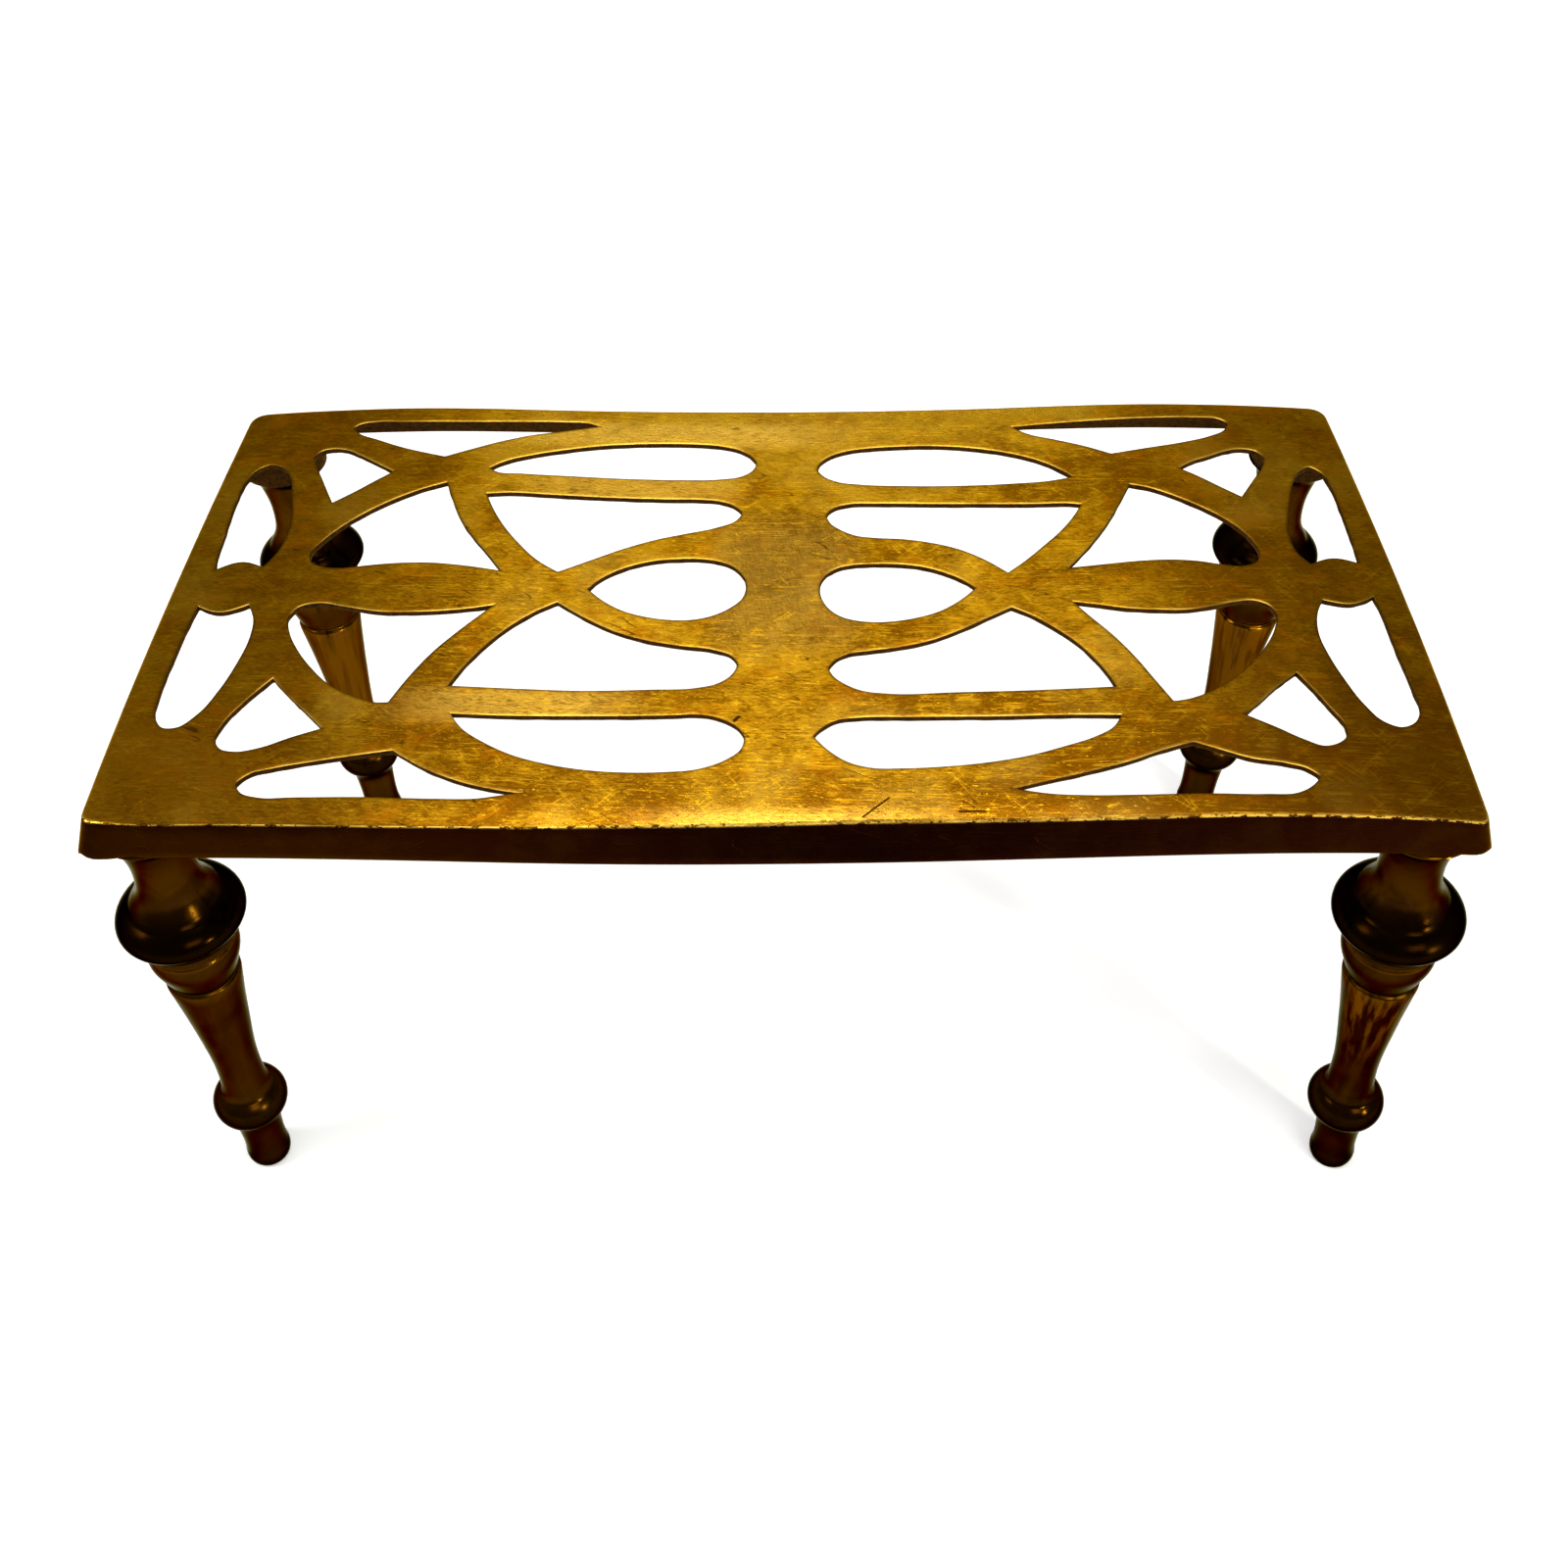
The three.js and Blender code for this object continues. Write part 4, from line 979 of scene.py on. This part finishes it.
class Value:
    """A socket in a material, on which ordinary arithmetic adds its nodes."""

    def __init__(self, finish, socket):
        self.finish, self.socket = finish, socket

    def _with(self, operation, *others, clamp=False):
        """One step of arithmetic on this value and any others."""
        settings = {"operation": operation, "use_clamp": clamp}
        return self.finish.node("ShaderNodeMath", settings, dict(enumerate((self,) + others)))

    def __add__(self, other):
        return self._with("ADD", other)

    __radd__ = __add__

    def __sub__(self, other):
        return self._with("SUBTRACT", other)

    def __rsub__(self, other):
        return self.finish.node("ShaderNodeMath", {"operation": "SUBTRACT"}, {0: other, 1: self})

    def __mul__(self, other):
        return self._with("MULTIPLY", other)

    __rmul__ = __mul__

    def held(self):
        """The value kept between 0 and 1."""
        return self._with("ADD", 0.0, clamp=True)

    def least(self, other):
        """The smaller of two values."""
        return self._with("MINIMUM", other)

    def most(self, other):
        """The larger of two values."""
        return self._with("MAXIMUM", other)

    def size(self):
        """The value without its sign."""
        return self._with("ABSOLUTE")

    def rise(self, low, high, start=0.0, end=1.0):
        """A soft step from start to end while the value goes from low to high."""
        settings = {"interpolation_type": "SMOOTHSTEP", "clamp": True}
        values = {"Value": self, "From Min": low, "From Max": high, "To Min": start, "To Max": end}
        return self.finish.node("ShaderNodeMapRange", settings, values)


class Finish:
    """The nodes of one material, or of the world."""

    def __init__(self, owner):
        self.owner = owner
        owner.use_nodes = True
        self.tree = owner.node_tree
        self.tree.nodes.clear()

    def node(self, kind, settings=None, values=None, output=0):
        """Adds a node: its settings first, then the values or links of its sockets."""
        node = self.tree.nodes.new(kind)
        for key, value in (settings or {}).items():
            setattr(node, key, value)
        for key, value in (values or {}).items():
            if isinstance(value, Value):
                self.tree.links.new(value.socket, node.inputs[key])
            elif isinstance(value, (tuple, list)) and len(value) == 3 and node.inputs[key].type == "RGBA":
                node.inputs[key].default_value = (*value, 1)
            else:
                node.inputs[key].default_value = value
        return Value(self, node.outputs[output]) if len(node.outputs) else None

    def place(self, stretch=(1, 1, 1), turn=0.0, shift=0.0):
        """Position in millimetres, turned about the vertical, stretched along the axes and shifted."""
        source = self.node("ShaderNodeTexCoord", output="Object")
        turned = self.node("ShaderNodeMapping", {}, {"Vector": source, "Rotation": (0, 0, turn)})
        values = {"Vector": turned, "Scale": tuple(1000 * k for k in stretch), "Location": (shift, 0, 0)}
        return self.node("ShaderNodeMapping", {}, values)

    def across(self, axis):
        """One coordinate of the position, in millimetres: 0, 1 or 2."""
        return self.node("ShaderNodeSeparateXYZ", {}, {"Vector": self.place()}, output=axis)

    def strokes(self, size, stretch, turn, wide, shift=0.0):
        """Thin lines along a direction: where stretched noise passes through its middle value."""
        cloud = self.cloud(size, 2, 0.5, self.place((stretch, 1, 1), turn, shift))
        return (cloud - 0.5).size().rise(wide, 0.0)

    def cloud(self, size, detail=3.0, rough=0.55, at=None, bend=0.0):
        """Soft noise with features of about the given size in millimetres."""
        values = {"Vector": at or self.place(), "Scale": 1 / size, "Detail": detail, "Roughness": rough}
        return self.node("ShaderNodeTexNoise", {}, {**values, "Distortion": bend})

    def cells(self, size):
        """Distance to scattered points about size millimetres apart."""
        return self.node("ShaderNodeTexVoronoi", {}, {"Vector": self.place(), "Scale": 1 / size})

    def mark(self, name):
        """A surface mark of the piece's own mesh."""
        return self.node("ShaderNodeAttribute", {"attribute_name": name}, output="Fac")

    def tint(self, factor, first, second):
        """Colour from first to second."""
        return self.node("ShaderNodeMix", {"data_type": "RGBA"}, {0: factor, 6: first, 7: second}, 2)

    def area(self, x, y, wide, deep):
        """A soft area of the top round a point, as half sizes in millimetres."""
        across = 1 - (self.across(0) - x).size().rise(wide * 0.3, wide)
        return across * (1 - (self.across(1) - y).size().rise(deep * 0.3, deep))

    def areas(self, rows):
        """Soft areas added up, each with its own amount."""
        return sum(self.area(x, y, wide, deep) * amount for x, y, wide, deep, amount in rows)

    def scar(self, x, y, long, wide, turn):
        """A single scratch: its middle, its length and width in millimetres and its angle."""
        right, ahead = self.across(0) - x, self.across(1) - y
        along = (right * math.cos(turn) + ahead * math.sin(turn)).size()
        aside = (ahead * math.cos(turn) - right * math.sin(turn)).size()
        return along.rise(long / 2, long / 2 - 0.5) * aside.rise(wide, wide * 0.4)

    def bump(self, height, depth, strength=1.0):
        """Surface relief of up to depth millimetres."""
        values = {"Height": height, "Distance": depth / 1000, "Strength": strength}
        return self.node("ShaderNodeBump", {}, values)

    def done(self, **sockets):
        """Ends the material in one surface shader and returns it."""
        values = {key.replace("_", " "): value for key, value in sockets.items()}
        shader = self.node("ShaderNodeBsdfPrincipled", {}, values)
        self.node("ShaderNodeOutputMaterial", {}, {"Surface": shader})
        return self.owner


def scaled(pigment, times=1.0):
    """A colour of the settings, made darker or lighter."""
    return tuple(min(1, times * part) for part in pigment)


def top_zones(f):
    """Zones of the top with soft edges, each from 0 to 1: the middle, the ends and the tips of its length,
    the front left corner, the middle of the front and of the back, the cross between the innermost openings
    and the front edge."""
    x, y = f.across(0), f.across(1)
    return types.SimpleNamespace(
        centre=1 - x.size().rise(60, 118),
        ends=x.size().rise(70, 150),
        tips=x.size().rise(105, 150),
        corner=(0 - x - y).rise(150, 205),
        front=(0 - y).rise(48, 73) * (1 - (x - 8).size().rise(25, 115)),
        back=y.rise(40, 72) * (1 - (x - 5).size().rise(20, 110)),
        cross=(1 - x.size().rise(13, 22)) * (1 - (y - 4).size().rise(12, 34)),
        edge=(0 - y).rise(69, 72),
    )


def top_noise(f, cross):
    """Noise in the finish of the top. Its brush strokes run along the length. Where two slanted sets are
    both strong they stand out from these, and on the cross upright strokes take the place of part of
    them."""
    along = f.cloud(0.55, 5, 0.7, f.place((0.18, 1, 1), 0.03), 0.2)
    slanted = f.cloud(0.55, 4, 0.65, f.place((0.13, 1, 1), 0.5, 1500))
    counter = f.cloud(0.55, 4, 0.65, f.place((0.13, 1, 1), -0.4, 1700))
    brushed = along.most(slanted.least(counter) * 1.08) - 0.03
    upright = f.cloud(0.4, 4, 0.7, f.place((0.12, 1, 1), 1.35, 90), 0.3)
    return types.SimpleNamespace(
        broad=f.cloud(34, 3, 0.6, bend=0.3),
        middle=f.cloud(8, 5, 0.65, f.place(shift=300), 0.3),
        fine=f.cloud(1.3, 5, 0.7, f.place(shift=70)),
        grain=f.cloud(0.45, 3, 0.7),
        flecks=f.cloud(0.5, 3, 0.65, f.place((0.35, 1, 1), 0.12, 2500), 0.5),
        hair=f.cloud(0.32, 4, 0.7, f.place((0.22, 1, 1), 0.06, 2100), 0.4),
        dull=f.cloud(11, 5, 0.7, f.place((0.7, 1, 1), shift=1300), 0.5).rise(0.54, 0.72),
        brushed=brushed + (upright - brushed) * cross * 0.45,
    )


def top_tone(f, zone, noise):
    """How golden the top is, from honey at 0 to gold at 1. The noise counts for more in the middle and for
    less at the front, and the zones and the dim areas lift or lower it."""
    texture = (noise.brushed - 0.5) * 1.6 + (noise.hair - 0.5) * 1.3 + (noise.middle - 0.5) * 0.9
    tone = 0.10 + texture * (0.55 + zone.centre * 0.75 - zone.front * 0.5)
    tone = tone + (noise.broad - 0.5) * (0.7 + zone.centre * 0.9)
    tone = tone + zone.centre * 0.22 + zone.corner * 0.10 + zone.tips * 0.05
    tone = tone - zone.front * 0.26 + zone.back * 0.36 - zone.cross * 0.26
    return tone - f.areas(DIM_AREAS)


def top_patina(f, s, zone, noise, tone):
    """Colour of the top face without its scratches: honey to gold, then orange patches, khaki on the cross
    and along the back, areas of painted sheen, the two front corners and brown patches."""
    skin = f.tint(tone.held(), scaled(s.honey), scaled(s.golden))
    orange = f.cloud(7, 5, 0.7, f.place((0.6, 1, 1), shift=500), 0.4).rise(0.50, 0.66)
    orange = orange * noise.fine.rise(0.3, 0.6)
    skin = f.tint(orange * (0.6 - zone.front * 0.4), skin, scaled(s.rust_orange))
    khaki = noise.broad.rise(0.50, 0.66) * 0.3
    khaki = khaki + (zone.cross * 0.7 + zone.back * 0.5) * noise.brushed.rise(0.32, 0.62)
    skin = f.tint(khaki.held() * 0.8, skin, scaled(s.khaki))
    # Painted sheen: bright bare-brass streaks along the brush strokes in a few areas, standing in for
    # reflected light
    sheen = f.areas(PAINTED_SHEEN_AREAS) * noise.brushed.rise(0.38, 0.56, 0.2, 1)
    skin = f.tint(sheen.held(), skin, scaled(s.rubbed_and_sheen))
    left = f.areas(ORANGE_CORNER) * noise.middle.rise(0.3, 0.6)
    skin = f.tint(left, skin, scaled(s.rust_orange, 0.8))
    skin = f.tint(f.areas(BROWN_CORNER), skin, scaled(s.rust_orange, 0.35))
    brown = noise.dull * 0.35 + zone.ends * 0.08 * noise.middle.rise(0.2, 0.7)
    return f.tint(brown.held(), skin, scaled(s.umber))


def brass_top_finish(s):
    """Worn brass: the patina of the top face with some painted sheen, scratches, pits, bright worn edges
    with a painted highlight where they face the front, painted shade along the openings' other edges, a dark
    rim and a rough cast skin below."""
    f = Finish(bpy.data.materials.new("worn_top_brass"))
    zone = top_zones(f)
    noise = top_noise(f, zone.cross)
    tone = top_tone(f, zone, noise)
    skin = top_patina(f, s, zone, noise, tone)

    # Scratches and pits
    lengthwise = f.strokes(1.2, 0.03, 0.03, 0.04) * f.cloud(5, 2, 0.5, f.place(shift=40)).rise(0.42, 0.6)
    crossing = f.strokes(2.2, 0.09, 0.9, 0.025, 200) + f.strokes(2.4, 0.08, -0.75, 0.025, 400)
    crossing = crossing * f.cloud(6, 2, 0.5, f.place(shift=600)).rise(0.50, 0.66)
    deep = f.strokes(5, 0.12, 0.45, 0.010, 800) * f.cloud(9, 1, 0.5, f.place(shift=1000)).rise(0.60, 0.66)
    light = lengthwise * (0.15 + zone.centre * 0.25) + crossing * (0.12 + zone.centre * 0.2)
    light = light + noise.flecks.rise(0.60, 0.70) * (0.12 + zone.centre * 0.55)
    skin = f.tint(light.held(), skin, scaled(s.golden, 1.25))
    scar = sum(f.scar(*row) for row in SCARS)
    dark = deep * 0.8 + scar + noise.flecks.rise(0.38, 0.28) * 0.35
    skin = f.tint(dark.held(), skin, scaled(s.umber))
    pits = f.cells(2.3).rise(0.12, 0.03) * f.cloud(9, 2, 0.5, f.place(shift=150)).rise(0.48, 0.6)
    skin = f.tint((pits * 0.8).held(), skin, scaled(s.umber))

    # Worn edges with nicks along the front, a painted highlight on opening edges that face the front, and
    # painted shade along the others
    nicks = f.mark("worn") * f.cloud(1.1, 3, 0.7, f.place((0.5, 1, 1), shift=33)).rise(0.52, 0.57)
    nicks = nicks * zone.edge
    worn = f.mark("worn") * f.cloud(14, 2, 0.5).rise(0.35, 0.6, 0.2, 1) - nicks
    skin = f.tint((worn * 0.75).held(), skin, scaled(s.rubbed_and_sheen))
    # Painted shade: near black along the opening edges that face away from the front
    grime = f.mark("grime") * f.cloud(5, 3, 0.6, f.place(shift=2900)).rise(0.25, 0.5, 0.5, 1)
    skin = f.tint((grime * 0.95).held(), skin, scaled(s.umber, 0.3))

    # Rim side and cast skin
    side = (f.mark("side") + nicks * 0.7).held()
    side_skin = f.tint(noise.middle.rise(0.40, 0.75) * 0.35, scaled(s.side_brown), scaled(s.umber, 0.6))
    skin = f.tint(side, skin, side_skin)
    cast = (f.mark("cast") * 1.15).held()
    cast_skin = f.tint(noise.fine.rise(0.38, 0.62), scaled(s.cast_brown), scaled(s.umber, 1.2))
    skin = f.tint(cast, skin, cast_skin)

    # Gloss and relief
    roughness = 0.31 - (tone - 0.3).held() * 0.10 + noise.dull * 0.12 + worn * 0.04
    roughness = roughness + (noise.brushed - 0.5) * 0.12 - zone.front * 0.05
    roughness = (roughness + cast * 0.3 - side * 0.04).held()
    relief = noise.brushed * 0.4 + noise.middle * 0.25 + noise.fine * 0.05 + noise.hair * 0.4
    relief = relief + noise.grain * 0.1 - (lengthwise + crossing) * 0.15
    relief = relief - pits * 0.6 - nicks * 1.2 - scar * 1.5 - deep * 0.6 + cast * f.cloud(0.9, 5, 0.75) * 2.5
    return f.done(Base_Color=skin, Metallic=1 - cast * 0.1, Roughness=roughness,
                  Specular_Tint=(0.85, 0.62, 0.25), Normal=f.bump(relief, 0.10, 0.8))


def leg_finish(s):
    """Dark turned brass: near black with olive patches, amber that shows through along the shaft, a painted
    amber light on the legs behind, edges worn bright, darker balls and foot, specks and faint rings from the
    lathe."""
    f = Finish(bpy.data.materials.new("dark_leg_brass"))
    patch = f.cloud(11, 3, 0.55, bend=0.5)
    fine = f.cloud(1.0, 4, 0.65)
    streaks = f.cloud(2.6, 3, 0.6, f.place((1, 1, 0.05)))
    right = f.across(0).rise(-60, 60)
    behind = f.across(1).rise(-30, 50)

    # Lengths of the leg, as shares of its height from the seat down
    height = f.mark("height")
    neck = height.rise(0.02, 0.06) * height.rise(0.19, 0.15)
    ball = height.rise(0.15, 0.20) * height.rise(0.275, 0.26)
    small_ball = height.rise(0.74, 0.79) * height.rise(0.87, 0.84)
    shaft = height.rise(0.37, 0.41) * height.rise(0.79, 0.72)
    upper = height.rise(0.66, 0.45)
    foot = height.rise(0.86, 1.0)

    thin = 0.6 + patch.rise(0.35, 0.65) * 0.4 + (fine - 0.5) * 0.3 - right * 0.45
    skin = f.tint(thin.held(), scaled(s.tarnish), scaled(s.olive))
    amber = streaks.rise(0.42, 0.64) * shaft * (0.10 + right * upper * 0.85)
    amber = amber + neck * patch.rise(0.4, 0.6) * 0.12
    # Painted light: the legs behind get more amber, most of all on their shafts, in place of the light they
    # catch
    amber = amber + behind * (0.15 + shaft * 0.75) * streaks.rise(0.36, 0.6, 0.5, 1)
    skin = f.tint(amber.held(), skin, scaled(s.amber))
    proud = f.mark("proud") * f.cloud(3, 3, 0.6).rise(0.35, 0.6, 0.3, 1)
    skin = f.tint((proud * 0.25).held(), skin, scaled(s.amber, 1.4))
    dark = (ball + small_ball * 0.9) * 0.92 + foot * 0.7
    skin = f.tint(dark.held(), skin, scaled(s.tarnish, 0.22))
    specks = f.cells(1.6).rise(0.16, 0.05) * f.cloud(5, 2, 0.5, f.place(shift=60)).rise(0.50, 0.62)
    skin = f.tint((specks * 0.6).held(), skin, scaled(s.tarnish, 0.5))

    rings = f.node("ShaderNodeCombineXYZ", {}, {"X": height * (1000 * s.leg_height) + fine * 0.5})
    turned = f.node("ShaderNodeTexWave", {"bands_direction": "X"}, {"Vector": rings, "Scale": 0.9}, "Fac")
    relief = turned * 0.10 + fine * 0.30 + patch * 0.5 - specks * 0.5
    roughness = 0.13 + patch.rise(0.35, 0.65) * 0.10 + fine * 0.06
    return f.done(Base_Color=skin, Metallic=1.0, Roughness=roughness, Specular_Tint=(0.44, 0.42, 0.30),
                  Normal=f.bump(relief, 0.05, 0.7))


def stud_finish(s):
    """Bare iron with rusty patches."""
    f = Finish(bpy.data.materials.new("dull_stud_iron"))
    patch, fine = f.cloud(2.5, 4, 0.6), f.cloud(0.5, 4, 0.7)
    skin = f.tint(patch.rise(0.45, 0.65), scaled(s.iron), scaled(s.rust))
    return f.done(Base_Color=skin, Metallic=0.7, Roughness=0.45 + fine * 0.3, Normal=f.bump(fine, 0.08))


def floor_finish(s):
    """Pale floor that looks white to the camera and in the metal, and still takes the trivet's shadow."""
    f = Finish(bpy.data.materials.new("pale_floor"))
    rays = f.node("ShaderNodeLightPath", output="Is Camera Ray")
    glossy = f.node("ShaderNodeLightPath", output="Is Glossy Ray")
    clear = f.node("ShaderNodeLightPath", output="Is Transmission Ray")
    grain = f.cloud(120, 2, 0.5)
    tone = f.tint(grain.rise(0.3, 0.7), scaled(s.floor), scaled(s.floor, 1.02))
    glow = f.tint(rays * 0.28 + glossy * 0.12 + clear * 0.12, (0, 0, 0), (1, 1, 1))
    return f.done(Base_Color=tone, Roughness=0.9, Specular_IOR_Level=0.0, Emission_Color=glow,
                  Emission_Strength=1.0)


# Placing pieces

def show(name, mesh, material, slot, *nodes):
    """Puts a finished mesh into the scene in place of CAD nodes."""
    piece = bpy.data.objects.new(name, mesh)
    bpy.context.scene.collection.objects.link(piece)
    mesh.materials.append(material)
    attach(piece, "root")
    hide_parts(*nodes)


class MakeTrivetTop(bpy.types.Operator):
    """Builds the pierced top casting with its rim, pads and worn edges"""
    bl_idname = "trivet.make_top"
    bl_label = "Top casting"

    def execute(self, context):
        settings = context.scene.trivet_top
        mesh = top_mesh(millimetres(settings))
        show("top_casting", mesh, brass_top_finish(settings), "top_brass", "top_plate")
        return {"FINISHED"}


class MakeTrivetLegs(bpy.types.Operator):
    """Builds the four turned legs, each with its own lean"""
    bl_idname = "trivet.make_legs"
    bl_label = "Turned legs"

    def execute(self, context):
        settings = context.scene.trivet_legs
        top, sizes = millimetres(context.scene.trivet_top), millimetres(settings)
        material = leg_finish(settings)
        for place, (side, foot_shift, off) in LEGS.items():
            mesh = leg_mesh(sizes, top, side, foot_shift, off, "turned_leg_" + place)
            show("turned_leg_" + place, mesh, material, "leg_brass", "leg_" + place)
        return {"FINISHED"}


class FinishTrivetStuds(bpy.types.Operator):
    """Gives the hidden iron studs their finish"""
    bl_idname = "trivet.finish_studs"
    bl_label = "Iron studs"

    def execute(self, context):
        material = stud_finish(context.scene.trivet_studs)
        for place in LEGS:
            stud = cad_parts["stud_" + place]
            for slot in stud.material_slots:
                slot.material = material
        return {"FINISHED"}


def stance(right, up, back, place):
    """Matrix of a lamp or camera at a place, from its right, up and back directions."""
    return Matrix.Translation(place) @ Matrix(np.stack([right, up, back], axis=-1).tolist()).to_4x4()


def add_floor(s):
    """A square floor under the feet."""
    reach = s.floor_reach
    corners = [(-reach, -reach, 0), (reach, -reach, 0), (reach, reach, 0), (-reach, reach, 0)]
    mesh = bpy.data.meshes.new("studio_floor")
    mesh.from_pydata(corners, [], [(0, 1, 2, 3)])
    mesh.materials.append(floor_finish(s))
    floor = bpy.data.objects.new("studio_floor", mesh)
    bpy.context.scene.collection.objects.link(floor)


def add_lamp(name, place, aim, wide, deep, power, tint):
    """A soft rectangular lamp at a place, facing a point, with its width level."""
    lamp = bpy.data.lights.new(name, "AREA")
    lamp.shape = "RECTANGLE"
    lamp.size = wide
    lamp.size_y = deep
    lamp.energy = power
    lamp.color = tint
    piece = bpy.data.objects.new(name, lamp)
    bpy.context.scene.collection.objects.link(piece)
    back = np.array(place, float) - np.array(aim, float)
    back /= np.linalg.norm(back)
    side = np.cross([0, 0, 1.0], back)
    side /= np.linalg.norm(side)
    piece.matrix_world = stance(side, np.cross(back, side), back, place)


def add_air(s):
    """Even light from all round, which is white to the camera."""
    air = Finish(bpy.data.worlds.new("studio_air"))
    level = air.node("ShaderNodeLightPath", output="Is Camera Ray").rise(0, 1, s.sky, 1)
    light = air.node("ShaderNodeBackground", {}, {"Color": (1, 1, 1), "Strength": level})
    air.node("ShaderNodeOutputWorld", {}, {"Surface": light})
    bpy.context.scene.world = air.owner


def add_camera(s):
    """The photo's camera, as it was fitted to the trivet."""
    lens = bpy.data.cameras.new("studio_camera")
    lens.sensor_width = 36
    lens.lens = s.focal_length
    lens.shift_x, lens.shift_y = CAMERA_SHIFT
    lens.clip_start, lens.clip_end = 0.01, 50
    camera = bpy.data.objects.new("studio_camera", lens)
    bpy.context.scene.collection.objects.link(camera)
    camera.matrix_world = stance(CAMERA_RIGHT, CAMERA_UP, CAMERA_BACK, CAMERA_PLACE)
    bpy.context.scene.camera = camera


class MakeTrivetStage(bpy.types.Operator):
    """Sets up the floor, the soft lamps and the camera"""
    bl_idname = "trivet.make_stage"
    bl_label = "Studio"

    def execute(self, context):
        s = context.scene.trivet_stage
        add_floor(s)
        for name, lamp in LAMPS.items():
            add_lamp(name, *lamp)
        add_air(s)
        context.scene.view_settings.view_transform = "Standard"
        add_camera(s)
        return {"FINISHED"}


class TrivetPanel(bpy.types.Panel):
    """Lists the trivet's pieces and its studio"""
    bl_idname = "VIEW3D_PT_trivet"
    bl_label = "Brass trivet"
    bl_space_type = "VIEW_3D"
    bl_region_type = "UI"
    bl_category = "Trivet"

    def draw(self, context):
        for operator, group in ((MakeTrivetTop, "trivet_top"), (MakeTrivetLegs, "trivet_legs"),
                                (FinishTrivetStuds, "trivet_studs"), (MakeTrivetStage, "trivet_stage")):
            box = self.layout.box()
            box.operator(operator.bl_idname)
            settings = getattr(context.scene, group)
            for name in type(settings).__annotations__:
                box.prop(settings, name)


GROUPS = {
    "trivet_top": TrivetTopSettings,
    "trivet_legs": TrivetLegSettings,
    "trivet_studs": TrivetStudSettings,
    "trivet_stage": TrivetStageSettings,
}
TOOLS = (MakeTrivetTop, MakeTrivetLegs, FinishTrivetStuds, MakeTrivetStage, TrivetPanel)


def register():
    for name, group in GROUPS.items():
        bpy.utils.register_class(group)
        setattr(bpy.types.Scene, name, bpy.props.PointerProperty(type=group))
    for tool in TOOLS:
        bpy.utils.register_class(tool)


def unregister():
    for tool in reversed(TOOLS):
        bpy.utils.unregister_class(tool)
    for name, group in GROUPS.items():
        delattr(bpy.types.Scene, name)
        bpy.utils.unregister_class(group)


def main():
    """Builds the pieces and the studio."""
    register()
    bpy.ops.trivet.make_top()
    bpy.ops.trivet.make_legs()
    bpy.ops.trivet.finish_studs()
    bpy.ops.trivet.make_stage()


if __name__ == "__main__":
    main()
